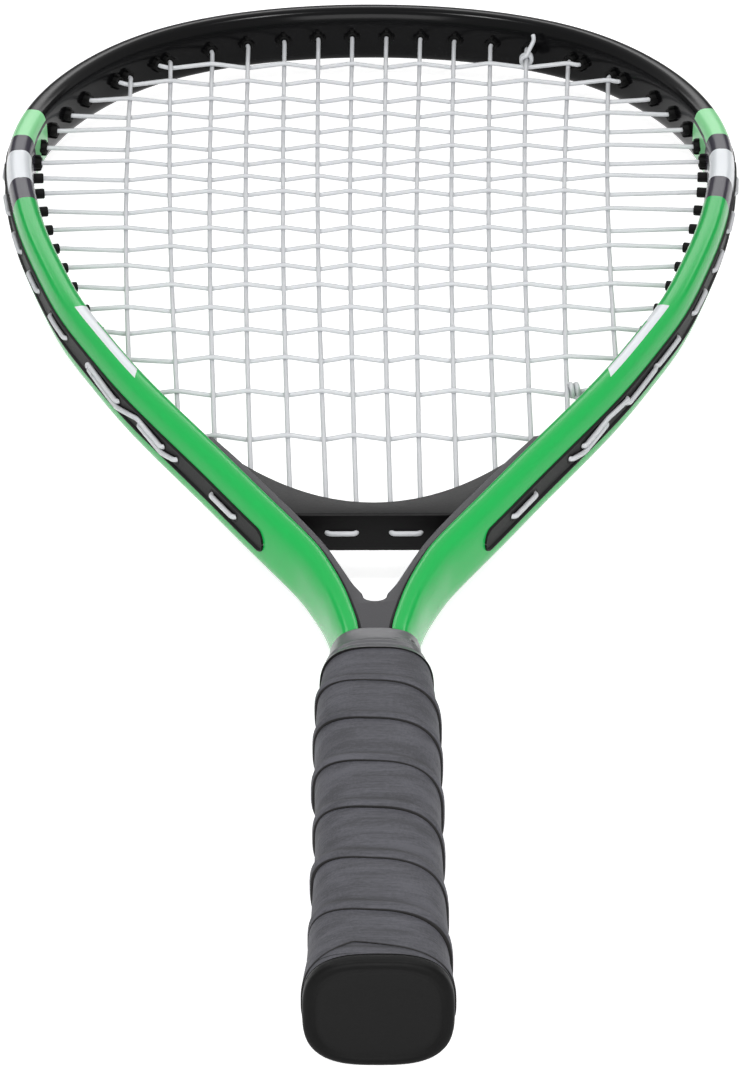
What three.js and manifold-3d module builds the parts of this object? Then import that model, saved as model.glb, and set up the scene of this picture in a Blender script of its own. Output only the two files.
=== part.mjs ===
// Crossminton racket: a bent alloy hoop strung with one length of nylon, a moulded throat yoke,
// plastic grommet strips, and a two-part handle core under a helically wound grip.
// X runs across the head, Y from butt to tip and Z out of the string plane. Millimetres.

import * as THREE from 'three';
import { mergeVertices } from 'three/addons/utils/BufferGeometryUtils.js';
import Module from 'manifold-3d';

const wasm = await Module();
wasm.setup();

// Whole racket
const overall_length = 590;
const overall_width = 240;

// Clearances shared by all pieces
const seat_gap = 0.3;
const cut_overrun = 1;

// Hoop tube: one alloy tube bent round the head, its two ends side by side in the handle
const tube_width = 8.8;
const tube_depth = 20;
const tube_wall = 0.9;
const tube_squareness = 3.2;
const tube_sides = 12;
const tube_bore_sides = 8;
const hoop_steps = 54;
const bend_share = 0.6;
const stem_spacing = 12.2;
const tube_end_y = 18;
const neck_y = 161;

// Grommet strips and head bumper, outside the tube, with barrels that pass through it
const strip_thickness = 1.1;
const strip_height = 7.2;
const strip_end_share = 0.45;
const strip_crown_share = 0.65;
const strip_end_run = 2.5;
const strip_low_rise = 62;
const bumper_low_rise = 0.5;
const barrel_diameter = 3.3;
const barrel_bore = 2.3;
const barrel_stand = 2.6;
const head_barrel_stand = 1;
const shared_barrel_diameter = 4.9;
const shared_barrel_bore = 3.7;
const barrel_sides = 6;
const barrel_bore_sides = 4;

// Throat yoke: bridge under the strings, legs along the arms and a wedge between the stems
const bridge_rise = 68.7;
const bridge_width = 5;
const bridge_depth = 11.5;
const yoke_end_rise = 111;
const yoke_inset = 1.5;
const leg_thickness = 1.5;
const crotch_rise = 16.5;
const crotch_radius = 4;
const wedge_end_y = 146;

// Stringing
const string_diameter = 1.5;
const string_sides = 4;
const weave_gap = 0.42;
const link_clearance = 0.3;
const mouth_clearance = 0.7;
const link_step = 10;
const first_row_drop = 29.7;
const string_splice_run = 4;
const knot_turns = 2;
const knot_steps = 8;
const knot_pitch = 1.8;
const knot_start = 3;
const knot_tail = 7;
const knot_tail_rise = 6;
const tucked_tail_rise = 0;

// Handle
const cap_plate_thickness = 3.6;
const cap_side_wall = 7.2;
const cap_front_wall = 4.8;
const cap_rim_width = 2.4;
const cap_rim_rise = 0.6;
const cap_edge_radius = 1.4;
const cap_plug_length = 12;
const cap_squareness = 2.9;
const grip_end_y = 141.2;
const core_end_y = 148;
const core_squareness = 2.8;
const core_sides = 24;
const channel_squareness = 7.5;
const core_split_gap = 0.3;
const wrap_seat_gap = 0.5;
const wrap_thickness = 1.9;
const wrap_ridge = 0.9;
const wrap_turn_gap = 0.6;
const wrap_steps_per_turn = 24;
const wrap_least_width = 2.5;
const wrap_rest_cut = 0.5;
const tape_end_y = 160;
const tape_thickness = 0.9;
const staple_wire = 1.2;
const staple_span = 10;
const staple_leg = 6;
const staple_y = 10;
const staple_sink = 0.15;

// Height of the head's widest point, a share of the way from the neck to the tip
const widest_share = 0.7313;
// Hoop centre line, right half: shares of the way out from stem to widest point, and up to it
const stem_shares = [0, 0.35, 0.7, 1];
const arm_shares = [
  [0.012, 0.033], [0.031, 0.066], [0.054, 0.096], [0.086, 0.129], [0.118, 0.156],
  [0.232, 0.233], [0.359, 0.319], [0.489, 0.405], [0.604, 0.485], [0.701, 0.562],
  [0.786, 0.636], [0.857, 0.717], [0.925, 0.809], [0.974, 0.901], [1, 1],
];
// From the widest point over the head to the tip
const head_shares = [[0.961, 0.289], [0.838, 0.575], [0.623, 0.818], [0.326, 0.958], [0, 1]];

// Stringing pattern: main strings as shares of the hoop's half width, cross rows as shares of their span
const main_tip_shares = [0.052, 0.155, 0.258, 0.368, 0.476, 0.6, 0.715];
const main_throat_shares = [0.042, 0.116, 0.209, 0.308, 0.403, 0.503, 0.643];
const row_shares = [
  0, 0.053, 0.108, 0.154, 0.2, 0.25, 0.294, 0.338, 0.381, 0.431,
  0.482, 0.532, 0.583, 0.633, 0.691, 0.747, 0.816, 0.897, 1,
];
// The lowest row as a share of the way from the neck to the widest point
const last_row_share = 0.4032;

// Handle core outside: shares of its length, and of the cap's side and front walls past the channel
const core_shares = [
  [0, 0.668, 0.497], [0.09, 0.625, 0.45], [0.23, 0.538, 0.371], [0.42, 0.438, 0.299],
  [0.68, 0.483, 0.314], [0.86, 0.45, 0.292], [0.94, 0.35, 0.22], [1, 0.225, 0.176],
];
// Height of each turn's lower edge up the grip, and the wound strip's own profile
const wrap_edge_shares = [0, 0.129, 0.291, 0.455, 0.612, 0.76, 0.895, 1];
const wrap_ridge_share = 0.16;
const wrap_step_share = 0.3;
const finish_shares = [[0, 1], [0.12, 0.99], [0.5, 0.93], [1, 0.86]];

// Values worked out from the sizes above
const tube_half = tube_width / 2;
const stem_half = stem_spacing / 2;
const strip_rise = seat_gap + strip_thickness;
const hoop_half_width = overall_width / 2 - strip_rise - tube_half;
const hoop_tip_y = overall_length - strip_rise - tube_half;
const widest_y = neck_y + (hoop_tip_y - neck_y) * widest_share;
const strip_low_y = neck_y + strip_low_rise;
const bumper_low_y = widest_y + bumper_low_rise;
const yoke_depth = tube_depth - yoke_inset * 2;
const bridge_back_y = neck_y + bridge_rise;
const bridge_front_y = bridge_back_y + bridge_width;
const yoke_end_y = neck_y + yoke_end_rise;
const crotch_y = neck_y + crotch_rise;
const string_radius = string_diameter / 2;
const weave_half = (string_diameter + weave_gap) / 2;
const first_row_y = hoop_tip_y - first_row_drop;
const last_row_y = neck_y + (widest_y - neck_y) * last_row_share;
const link_out = tube_half + strip_rise + link_clearance + string_radius;
const link_side = string_diameter + link_clearance;
const core_start_y = cap_plate_thickness + seat_gap;
const grip_start_y = core_start_y;
const tape_start_y = grip_end_y + seat_gap;
const channel_half_width = stem_half + tube_half + seat_gap;
const channel_half_depth = tube_depth / 2 + seat_gap;
const cap_half_width = channel_half_width + cap_side_wall;
const cap_half_depth = channel_half_depth + cap_front_wall;

// Small geometry helpers
const { lerp } = THREE.MathUtils;
const point = (x, y, z = 0) => new THREE.Vector3(x, y, z);

// A superellipse ring with a flat facet on each of its four sides: [across, up] pairs, anticlockwise
function superellipse(half_across, half_up, squareness, sides) {
  const power = 2 / squareness;
  const bend = (value) => Math.sign(value) * Math.abs(value) ** power;
  const widest = bend(Math.cos(Math.PI / sides));
  return Array.from({ length: sides }, (_, index) => {
    const turn = ((index + 0.5) / sides) * Math.PI * 2;
    return [half_across * bend(Math.cos(turn)) / widest, half_up * bend(Math.sin(turn)) / widest];
  });
}

// A closed solid through rings of equal count, with a flat fan over each end
function loft(rings) {
  const count = rings[0].length;
  const last = (rings.length - 1) * count;
  const index = [];
  for (let ring = 0; ring + 1 < rings.length; ring++) {
    for (let side = 0; side < count; side++) {
      const next = (side + 1) % count;
      const a = ring * count + side;
      const b = ring * count + next;
      index.push(a, b, b + count, a, b + count, a + count);
    }
  }
  for (let side = 1; side + 1 < count; side++) {
    index.push(0, side + 1, side);
    index.push(last, last + side, last + side + 1);
  }
  const geometry = new THREE.BufferGeometry();
  geometry.setFromPoints(rings.flat());
  geometry.setIndex(index);
  return facingOut(geometry);
}

// Turns a closed geometry right way out if its volume comes out negative
function facingOut(geometry) {
  const place = geometry.getAttribute('position');
  const index = geometry.getIndex().array;
  const [a, b, c] = [point(0, 0), point(0, 0), point(0, 0)];
  let volume = 0;
  for (let corner = 0; corner < index.length; corner += 3) {
    a.fromBufferAttribute(place, index[corner]);
    b.fromBufferAttribute(place, index[corner + 1]);
    c.fromBufferAttribute(place, index[corner + 2]);
    volume += a.dot(b.cross(c));
  }
  if (volume < 0) geometry.setIndex(Array.from(index).reverse());
  return geometry;
}

function toSolid(geometry) {
  const bare = geometry.clone();
  bare.deleteAttribute('normal');
  bare.deleteAttribute('uv');
  const merged = mergeVertices(bare);
  return new wasm.Manifold(new wasm.Mesh({
    numProp: 3,
    vertProperties: new Float32Array(merged.getAttribute('position').array),
    triVerts: new Uint32Array(merged.getIndex().array),
  }));
}

function toGeometry(solid) {
  const mesh = solid.getMesh();
  const geometry = new THREE.BufferGeometry();
  geometry.setAttribute('position', new THREE.BufferAttribute(new Float32Array(mesh.vertProperties), 3));
  geometry.setIndex(Array.from(mesh.triVerts));
  return geometry;
}

// A prism from one point to another, its first corner turned towards Z
function prism(from, to, radius, sides) {
  const along = to.clone().sub(from);
  const geometry = new THREE.CylinderGeometry(radius, radius, along.length(), sides);
  const up = along.clone().normalize();
  const front = point(0, 0, 1);
  const side = up.clone().cross(front).normalize();
  const turn = new THREE.Matrix4().makeBasis(side, up, front);
  geometry.applyMatrix4(turn);
  const middle = from.clone().lerp(to, 0.5);
  geometry.translate(middle.x, middle.y, middle.z);
  return toSolid(geometry);
}

// A shape in the string plane made as thick as depth, centred on it
function slab(corners, depth) {
  const shape = new THREE.Shape(corners.map(([x, y]) => new THREE.Vector2(x, y)));
  const geometry = new THREE.ExtrudeGeometry(shape, { depth, bevelEnabled: false });
  geometry.translate(0, 0, -depth / 2);
  return toSolid(geometry);
}

// Where a rising or falling function of one value crosses zero
function solve(miss, low, high) {
  const rising = miss(high) > miss(low);
  for (let pass = 0; pass < 60; pass++) {
    const middle = (low + high) / 2;
    if (miss(middle) > 0 === rising) high = middle;
    else low = middle;
  }
  return (low + high) / 2;
}

// Hoop centre line
function hoopPoints() {
  const right = stem_shares.map((up) => point(stem_half, lerp(tube_end_y, neck_y, up)));
  for (const [out, up] of arm_shares) {
    right.push(point(lerp(stem_half, hoop_half_width, out), lerp(neck_y, widest_y, up)));
  }
  for (const [out, up] of head_shares) {
    right.push(point(hoop_half_width * out, lerp(widest_y, hoop_tip_y, up)));
  }
  const left = right.slice(0, -1).reverse().map((p) => point(-p.x, p.y));
  return [...right, ...left];
}

const hoop = new THREE.CatmullRomCurve3(hoopPoints(), false, 'centripetal');
hoop.arcLengthDivisions = 4000;
const hoop_length = hoop.getLength();

// A point of the hoop: how far round it lies, out from the centre line and up from the string plane
function hoopPoint(round, out, up = 0) {
  const centre = hoop.getPointAt(round);
  const along = hoop.getTangentAt(round);
  return point(centre.x + along.y * out, centre.y - along.x * out, up);
}

const tip_round = 0.5;
const roundAtHeight = (y, out) => solve((round) => hoopPoint(round, out).y - y, 0, tip_round);
const neck_round = roundAtHeight(neck_y, 0);
const widest_round = roundAtHeight(widest_y, 0);
const mirrored = (round) => 1 - round;
const strip_low_round = roundAtHeight(strip_low_y, tube_half);
const bumper_low_round = roundAtHeight(bumper_low_y, 0);
const strip_high_round = bumper_low_round - seat_gap / hoop_length;

// Stations round the hoop: one for each stem end, the rest between the necks, closer where it bends more
function hoopStations() {
  const samples = hoop_steps * 8;
  const places = Array.from({ length: samples + 1 }, (_, index) => (
    lerp(neck_round, mirrored(neck_round), index / samples)));
  const turned = [0];
  for (let index = 1; index <= samples; index++) {
    const before = hoop.getTangentAt(places[index - 1]);
    turned.push(turned[index - 1] + before.angleTo(hoop.getTangentAt(places[index])));
  }
  const progress = turned.map((turn, index) => (
    lerp(index / samples, turn / turned[samples], bend_share)));
  const stations = [0];
  for (let step = 0; step <= hoop_steps; step++) {
    const after = progress.findIndex((value) => value >= step / hoop_steps - 1e-9);
    stations.push(places[after]);
  }
  return [...stations, 1];
}

const hoop_stations = hoopStations();

const hoopRing = (round, section) => section.map(([out, up]) => hoopPoint(round, out, up));

function tubeLoft(grow, sides, overrun) {
  const section = superellipse(tube_half + grow, tube_depth / 2 + grow, tube_squareness, sides);
  const rings = hoop_stations.map((round) => hoopRing(round, section));
  for (const ring of [rings[0], rings[rings.length - 1]]) {
    for (const corner of ring) corner.y -= overrun;
  }
  return toSolid(loft(rings));
}

// Curve of the yoke's string side: a parabola that runs out on the arms' inner wall
const yoke_end_round = roundAtHeight(yoke_end_y, -tube_half);
const yoke_end_x = hoopPoint(yoke_end_round, -tube_half).x;
const bowl_shape = (yoke_end_y - bridge_front_y) / yoke_end_x ** 2;
const bowlHeight = (x) => bridge_front_y + bowl_shape * x * x;

// How far in from the hoop's centre line a barrel has to reach: past the yoke, or just past the tube
function barrelReach(round) {
  const height = (reach) => {
    const place = hoopPoint(round, -reach);
    return place.y - bowlHeight(place.x);
  };
  const on_head = round > bumper_low_round && round < mirrored(bumper_low_round);
  const beside_tube = tube_half + (on_head ? head_barrel_stand : barrel_stand);
  const past_yoke = round > yoke_end_round && round < mirrored(yoke_end_round);
  if (past_yoke || height(tube_half) >= 0) return beside_tube;
  return solve(height, tube_half, hoop_half_width / 4) + seat_gap;
}

const mouthAt = (round) => hoopPoint(round, -barrelReach(round));

// String holes: those of the right half, then the same mirrored
const bridge_mains = 2;
const main_count = main_tip_shares.length;
const half_holes = [];
for (let index = 0; index < main_count; index++) {
  const tip_x = main_tip_shares[index] * hoop_half_width;
  const tip = solve((round) => mouthAt(round).x - tip_x, widest_round, tip_round);
  half_holes.push({ name: `main_tip_${index}`, round: tip });
  if (index < bridge_mains) continue;
  const throat_x = main_throat_shares[index] * hoop_half_width;
  const throat = solve((round) => mouthAt(round).x - throat_x, neck_round, widest_round);
  half_holes.push({ name: `main_throat_${index}`, round: throat });
}
const rowHeight = (row) => lerp(first_row_y, last_row_y, row_shares[row]);
const row_count = row_shares.length;
for (let row = 0; row < row_count; row++) {
  const round = solve((place) => mouthAt(place).y - rowHeight(row), neck_round, tip_round);
  half_holes.push({ name: `row_${row}`, round });
}
const holes = new Map();
for (const { name, round } of half_holes) {
  holes.set(`right_${name}`, round);
  holes.set(`left_${name}`, mirrored(round));
}
// Both ends of the string come back in through a hole that they share, where they are knotted
const end_main = 4;
const start_row = 17;
const end_hole = `right_main_tip_${end_main}`;
const start_hole = `right_row_${start_row}`;
const shared_rounds = [holes.get(end_hole), holes.get(start_hole)];
const barrelSize = (round) => (shared_rounds.includes(round) ? shared_barrel_diameter : barrel_diameter);
const boreSize = (round) => (shared_rounds.includes(round) ? shared_barrel_bore : barrel_bore);

function holePrism(round, radius, sides, inner_past, outer_past) {
  const inner = hoopPoint(round, -barrelReach(round) - inner_past);
  return prism(inner, hoopPoint(round, tube_half + outer_past), radius, sides);
}

const barrelHoles = () => [...holes.values()].map((round) => (
  holePrism(round, barrelSize(round) / 2 + seat_gap, barrel_sides, cut_overrun, cut_overrun)));

const joined = (solids) => solids.reduce((whole, solid) => whole.add(solid));

// Pieces of the hoop
function frameTube() {
  const outside = tubeLoft(0, tube_sides, 0);
  const inside = tubeLoft(-tube_wall, tube_bore_sides, cut_overrun);
  return outside.subtract(inside).subtract(joined(barrelHoles()));
}

// A strip between two places round the hoop, blunted at both ends, with its barrels
function grommetStrip(from, to) {
  const half = strip_height / 2;
  const inner = tube_half + seat_gap;
  const outer = inner + strip_thickness;
  const shoulder = (inner + outer) / 2;
  const sectionOf = (share) => [
    [inner, -half * share], [shoulder, -half * share], [outer, -half * share * strip_crown_share],
    [outer, half * share * strip_crown_share], [shoulder, half * share], [inner, half * share],
  ];
  const run = strip_end_run / hoop_length;
  const between = hoop_stations.filter((round) => round > from + run && round < to - run);
  const rings = [
    hoopRing(from, sectionOf(strip_end_share)), hoopRing(from + run, sectionOf(1)),
    ...between.map((round) => hoopRing(round, sectionOf(1))),
    hoopRing(to - run, sectionOf(1)), hoopRing(to, sectionOf(strip_end_share)),
  ];
  const own = [...holes.values()].filter((round) => round > from && round < to);
  const barrels = own.map((round) => (
    holePrism(round, barrelSize(round) / 2, barrel_sides, 0, seat_gap + strip_thickness / 2)));
  const bores = own.map((round) => (
    holePrism(round, boreSize(round) / 2, barrel_bore_sides, cut_overrun, strip_rise + cut_overrun)));
  return toSolid(loft(rings)).add(joined(barrels)).subtract(joined(bores));
}

// Yoke outline points along the hoop at one distance from its centre line, right side, going up
function alongArm(low_y, high_y, out, count) {
  const low = roundAtHeight(low_y, out);
  const high = roundAtHeight(high_y, out);
  return Array.from({ length: count + 1 }, (_, step) => {
    const place = hoopPoint(lerp(low, high, step / count), out);
    return [place.x, place.y];
  });
}

const flip = (corners) => [...corners].reverse().map(([x, y]) => [-x, y]);

function throatYoke() {
  const buried = -tube_half / 2;
  const leg_face = -(tube_half + seat_gap + leg_thickness);
  const outer = alongArm(wedge_end_y, yoke_end_y, buried, 14);
  const inner = alongArm(crotch_y + crotch_radius, yoke_end_y, leg_face, 12).reverse();
  const crotch_half = inner[inner.length - 1][0];
  const crotch = [1, 2, 3].map((step) => {
    const turn = (step / 4) * Math.PI / 2;
    return [crotch_half * Math.cos(turn), crotch_y + crotch_radius * (1 - Math.sin(turn))];
  });
  const right = [...outer, ...inner, ...crotch];
  const frame = slab([...right, [0, crotch_y], ...flip(right)], yoke_depth);
  const side = alongArm(bridge_back_y, yoke_end_y, buried, 6);
  const bowl_steps = 14;
  const bowl = Array.from({ length: bowl_steps + 1 }, (_, step) => {
    const x = lerp(yoke_end_x, -yoke_end_x, step / bowl_steps);
    return [x, bowlHeight(x)];
  });
  const bridge = slab([...side, ...bowl, ...flip(side)], bridge_depth);
  const string_holes = [];
  for (let index = 0; index < bridge_mains; index++) {
    const x = main_throat_shares[index] * hoop_half_width;
    for (const sign of [-1, 1]) {
      const back = point(sign * x, bridge_back_y - cut_overrun);
      const front = point(sign * x, bowlHeight(x) + cut_overrun);
      string_holes.push(prism(back, front, barrel_bore / 2, barrel_sides));
    }
  }
  const tube = tubeLoft(seat_gap, tube_sides, cut_overrun);
  return frame.add(bridge).subtract(tube).subtract(joined([...string_holes, ...barrelHoles()]));
}

// A string of the given route: one ring at each point, square to the bend
function stringTube(route) {
  const up = point(0, 0, 1);
  const rings = route.map((place, index) => {
    const before = route[Math.max(index - 1, 0)];
    const after = route[Math.min(index + 1, route.length - 1)];
    const arriving = place.clone().sub(before).normalize();
    const leaving = after.clone().sub(place).normalize();
    if (index === 0) arriving.copy(leaving);
    if (index === route.length - 1) leaving.copy(arriving);
    const along = arriving.clone().add(leaving).normalize();
    const side = along.clone().cross(up).normalize();
    const over = side.clone().cross(along);
    const bend = leaving.clone().sub(arriving);
    const stretch = 1 / Math.max(arriving.dot(along), 0.6) - 1;
    if (bend.lengthSq() > 0) bend.normalize();
    return Array.from({ length: string_sides }, (_, corner) => {
      const turn = (corner / string_sides) * Math.PI * 2;
      const spoke = side.clone().multiplyScalar(Math.cos(turn) * string_radius);
      spoke.addScaledVector(over, Math.sin(turn) * string_radius);
      spoke.addScaledVector(bend, spoke.dot(bend) * stretch);
      return place.clone().add(spoke);
    });
  });
  return loft(rings);
}

// The string's run outside the hoop between two holes, passing other holes on one side or the other
function outerRun(from, to, passes, from_side = 0, to_side = 0) {
  const passed = passes.map(([place, sign]) => [place, sign * link_side]);
  const known = [[from, from_side], ...passed, [to, to_side]];
  const steps = Math.max(1, Math.ceil(Math.abs(to - from) * hoop_length / link_step));
  const stops = [...passes.map(([round]) => round)];
  for (let step = 0; step <= steps; step++) {
    const round = lerp(from, to, step / steps);
    const close = stops.some((stop) => Math.abs(stop - round) * hoop_length < link_step / 2);
    if (!close) stops.push(round);
  }
  if (!stops.includes(from)) stops.push(from);
  if (!stops.includes(to)) stops.push(to);
  stops.sort((a, b) => (a - b) * Math.sign(to - from));
  const side = (round) => {
    for (let index = 0; index + 1 < known.length; index++) {
      const [start, start_side] = known[index];
      const [end, end_side] = known[index + 1];
      const share = (round - start) / (end - start);
      if (share >= 0 && share <= 1) return lerp(start_side, end_side, share);
    }
    return to_side;
  };
  return stops.map((round) => hoopPoint(round, link_out, side(round)));
}

// All holes between two, each passed on the same side
function passesBetween(from, to, sign) {
  const between = [...holes.values()].filter((round) => (round - from) * (round - to) < 0);
  between.sort((a, b) => (a - b) * Math.sign(to - from));
  return between.map((round) => [round, sign]);
}

const sideName = (sign) => (sign > 0 ? 'right' : 'left');
const mainTip = (main) => holes.get(`${sideName(main.sign)}_main_tip_${main.index}`);
const mainThroat = (main) => holes.get(`${sideName(main.sign)}_main_throat_${main.index}`);

// Main strings from the far right one to the far left one
const mains = [];
for (let index = main_count - 1; index >= 0; index--) mains.push({ sign: 1, index });
for (let index = 0; index < main_count; index++) mains.push({ sign: -1, index });
const tipSide = (main) => (mainTip(main) === holes.get(end_hole) ? -weave_half : 0);
for (const main of mains) {
  main.tip = hoopPoint(mainTip(main), -barrelReach(mainTip(main)) - mouth_clearance, tipSide(main));
  if (main.index < bridge_mains) {
    const x = main.sign * main_throat_shares[main.index] * hoop_half_width;
    main.throat = point(x, bowlHeight(x) + mouth_clearance);
  } else {
    main.throat = hoopPoint(mainThroat(main), -barrelReach(mainThroat(main)) - mouth_clearance);
  }
}

const rows = row_shares.map((_, row) => {
  const round = holes.get(`right_row_${row}`);
  const right = hoopPoint(round, -barrelReach(round) - mouth_clearance);
  return { row, y: right.y, half: right.x, right_side: row === start_row ? weave_half : 0 };
});

// Where a main string and a row meet, if both reach that far
function crossing(main, row) {
  const share = (row.y - main.throat.y) / (main.tip.y - main.throat.y);
  const x = lerp(main.throat.x, main.tip.x, share);
  const meets = share > 0 && share < 1 && Math.abs(x) < row.half - string_radius;
  return meets ? x : null;
}

const order = new Map(mains.map((main, place) => [main, place]));
const weaveSide = (main, row) => ((order.get(main) + row.row) % 2 ? 1 : -1) * weave_half;

// One main string from throat to tip, rising over and under the rows
function mainRun(main) {
  const run = [main.throat];
  for (const row of [...rows].reverse()) {
    const x = crossing(main, row);
    if (x !== null) run.push(point(x, row.y, weaveSide(main, row)));
  }
  run.push(main.tip);
  return run;
}

// One row from left to right
function rowRun(row) {
  const run = [point(-row.half, row.y)];
  for (const main of [...mains].reverse()) {
    const x = crossing(main, row);
    if (x !== null) run.push(point(x, row.y, -weaveSide(main, row)));
  }
  run.push(point(row.half, row.y, row.right_side));
  return run;
}

function throatLink(main, next) {
  if (main.index < bridge_mains) {
    const y = bridge_back_y - link_clearance - string_radius;
    return [point(main.throat.x, y), point(next.throat.x, y)];
  }
  const from = mainThroat(main);
  const to = mainThroat(next);
  return outerRun(from, to, passesBetween(from, to, -1));
}

function tipLink(main, next) {
  const from = mainTip(main);
  const to = mainTip(next);
  return outerRun(from, to, passesBetween(from, to, -1), tipSide(main), tipSide(next));
}

// A string's end at a shared hole: in through the barrel, turns round its neighbour, and a free tail
function knotRoute(mouth, away, across, side, tail_rise) {
  const radius = string_diameter + weave_gap;
  const count = knot_turns * knot_steps;
  const axis = mouth.clone().setZ(-side);
  const route = [mouth.clone()];
  for (let step = 0; step <= count; step++) {
    const turn = (step / knot_steps) * Math.PI * 2;
    const place = axis.clone().addScaledVector(away, knot_start + knot_pitch * step / knot_steps);
    place.addScaledVector(across, radius * Math.sin(turn));
    place.z += Math.sign(side) * radius * Math.cos(turn);
    route.push(place);
  }
  const tail = route[route.length - 1].clone().addScaledVector(across, knot_tail / 2);
  tail.addScaledVector(away, -knot_tail / 2);
  tail.z += Math.sign(side) * tail_rise;
  return [...route, tail];
}

function endKnot() {
  const main = mains.find(({ sign, index }) => sign > 0 && index === end_main);
  const mouth = main.tip.clone().setZ(weave_half);
  const away = main.throat.clone().setZ(0).sub(mouth.clone().setZ(0)).normalize();
  return knotRoute(mouth, away, point(away.y, -away.x), weave_half, knot_tail_rise);
}

function startKnot() {
  const row = rows[start_row];
  const mouth = point(row.half, row.y, -weave_half);
  return knotRoute(mouth, point(-1, 0), point(0, -1), -weave_half, tucked_tail_rise);
}

// The cross string takes over part way between the last main's hole and the next hole down
const last_main_round = holes.get(`left_main_throat_${main_count - 1}`);
const cross_start_round = holes.get(`left_row_${row_count - 1}`);
const splice_round = last_main_round + string_splice_run / hoop_length;

function mainRoute() {
  const first = mainThroat(mains[0]);
  const route = [...startKnot().reverse(), ...outerRun(holes.get(start_hole), first, [], -weave_half, 0)];
  mains.forEach((main, place) => {
    const next = mains[place + 1];
    const rising = place % 2 === 0;
    const run = mainRun(main);
    route.push(...(rising ? run : run.reverse()));
    if (!next) return;
    route.push(...(rising ? tipLink(main, next) : throatLink(main, next)));
  });
  const side = startPassSide(splice_round);
  route.push(hoopPoint(last_main_round, link_out), hoopPoint(splice_round, link_out, side));
  return route;
}

// The run from the last main to the lowest row passes row 18's hole on the back, main 5's on the front
const start_passes = passesBetween(last_main_round, cross_start_round, 1);
start_passes[0][1] = -1;

function startPassSide(round) {
  const share = (round - last_main_round) / (start_passes[0][0] - last_main_round);
  return start_passes[0][1] * link_side * share;
}

function crossRoute() {
  const start = splice_round + link_clearance / hoop_length;
  const splice = hoopPoint(splice_round, link_out);
  const full = outerRun(last_main_round, cross_start_round, start_passes).slice(1);
  const kept = full.filter((place) => place.distanceTo(splice) > string_diameter * 2);
  const route = [hoopPoint(start, link_out, startPassSide(start)), ...kept];
  for (let row = row_count - 1; row >= 0; row--) {
    const rightward = (row_count - 1 - row) % 2 === 0;
    const run = rowRun(rows[row]);
    route.push(...(rightward ? run : run.reverse()));
    const side = rightward ? 'right' : 'left';
    const from = holes.get(`${side}_row_${row}`);
    const to = row > 0 ? holes.get(`${side}_row_${row - 1}`) : holes.get(end_hole);
    const from_side = rightward ? rows[row].right_side : 0;
    const to_side = row > 0 ? (rightward ? rows[row - 1].right_side : 0) : weave_half;
    route.push(...outerRun(from, to, passesBetween(from, to, 1), from_side, to_side));
  }
  return [...route, ...endKnot()];
}

// Handle
function coreHalves(y) {
  const share = (y - core_start_y) / (core_end_y - core_start_y);
  const last = core_shares.length - 1;
  let index = 0;
  while (index < last - 1 && share > core_shares[index + 1][0]) index++;
  const [low, low_width, low_depth] = core_shares[index];
  const [high, high_width, high_depth] = core_shares[index + 1];
  const between = THREE.MathUtils.clamp((share - low) / (high - low), 0, 1);
  const side = lerp(low_width, high_width, between) * cap_side_wall;
  const front = lerp(low_depth, high_depth, between) * cap_front_wall;
  return [channel_half_width + side, channel_half_depth + front];
}

// A lofted body along Y: heights, and the section's half width and depth at each
function bodyAlong(stations, squareness, sides) {
  return loft(stations.map(([y, half_width, half_depth]) => (
    superellipse(half_width, half_depth, squareness, sides).map(([x, z]) => point(x, y, z)))));
}

function handleCore() {
  const length = core_end_y - core_start_y;
  const stations = core_shares.map(([share]) => {
    const y = core_start_y + share * length;
    return [y, ...coreHalves(y)];
  });
  const outside = toSolid(bodyAlong(stations, core_squareness, core_sides));
  const channel = toSolid(bodyAlong([
    [core_start_y - cut_overrun, channel_half_width, channel_half_depth],
    [core_end_y + cut_overrun, channel_half_width, channel_half_depth],
  ], channel_squareness, core_sides));
  return outside.subtract(channel);
}

// The core's front or back half, with a pocket for its staple
function handleHalf(core, sign) {
  const reach = cap_half_depth * 2;
  const length = (core_end_y + cut_overrun) * 2;
  const keep = new THREE.BoxGeometry((cap_half_width + cut_overrun) * 2, length, reach);
  keep.translate(0, 0, sign * (reach / 2 + core_split_gap / 2));
  return core.intersect(toSolid(keep)).subtract(staple(sign, seat_gap));
}

// A U of wire that pins the cap's plug through the core; grown, it cuts its own pocket
function staple(sign, grow) {
  const top = coreHalves(staple_y)[1] + (grow > 0 ? cut_overrun : -staple_sink);
  const crown_low = coreHalves(staple_y)[1] - staple_sink - staple_wire - grow;
  const half = staple_span / 2 + grow;
  const inner = staple_span / 2 - staple_wire - grow;
  const foot = crown_low - staple_leg;
  const outline = [
    [-half, foot], [-inner, foot], [-inner, crown_low], [inner, crown_low],
    [inner, foot], [half, foot], [half, top], [-half, top],
  ];
  const shape = new THREE.Shape(outline.map(([x, z]) => new THREE.Vector2(x, z)));
  const thick = staple_wire + grow * 2;
  const geometry = new THREE.ExtrudeGeometry(shape, { depth: thick, bevelEnabled: false });
  geometry.rotateX(Math.PI / 2);
  geometry.translate(0, staple_y + thick / 2, 0);
  if (sign < 0) geometry.rotateY(Math.PI);
  return toSolid(geometry);
}

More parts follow.
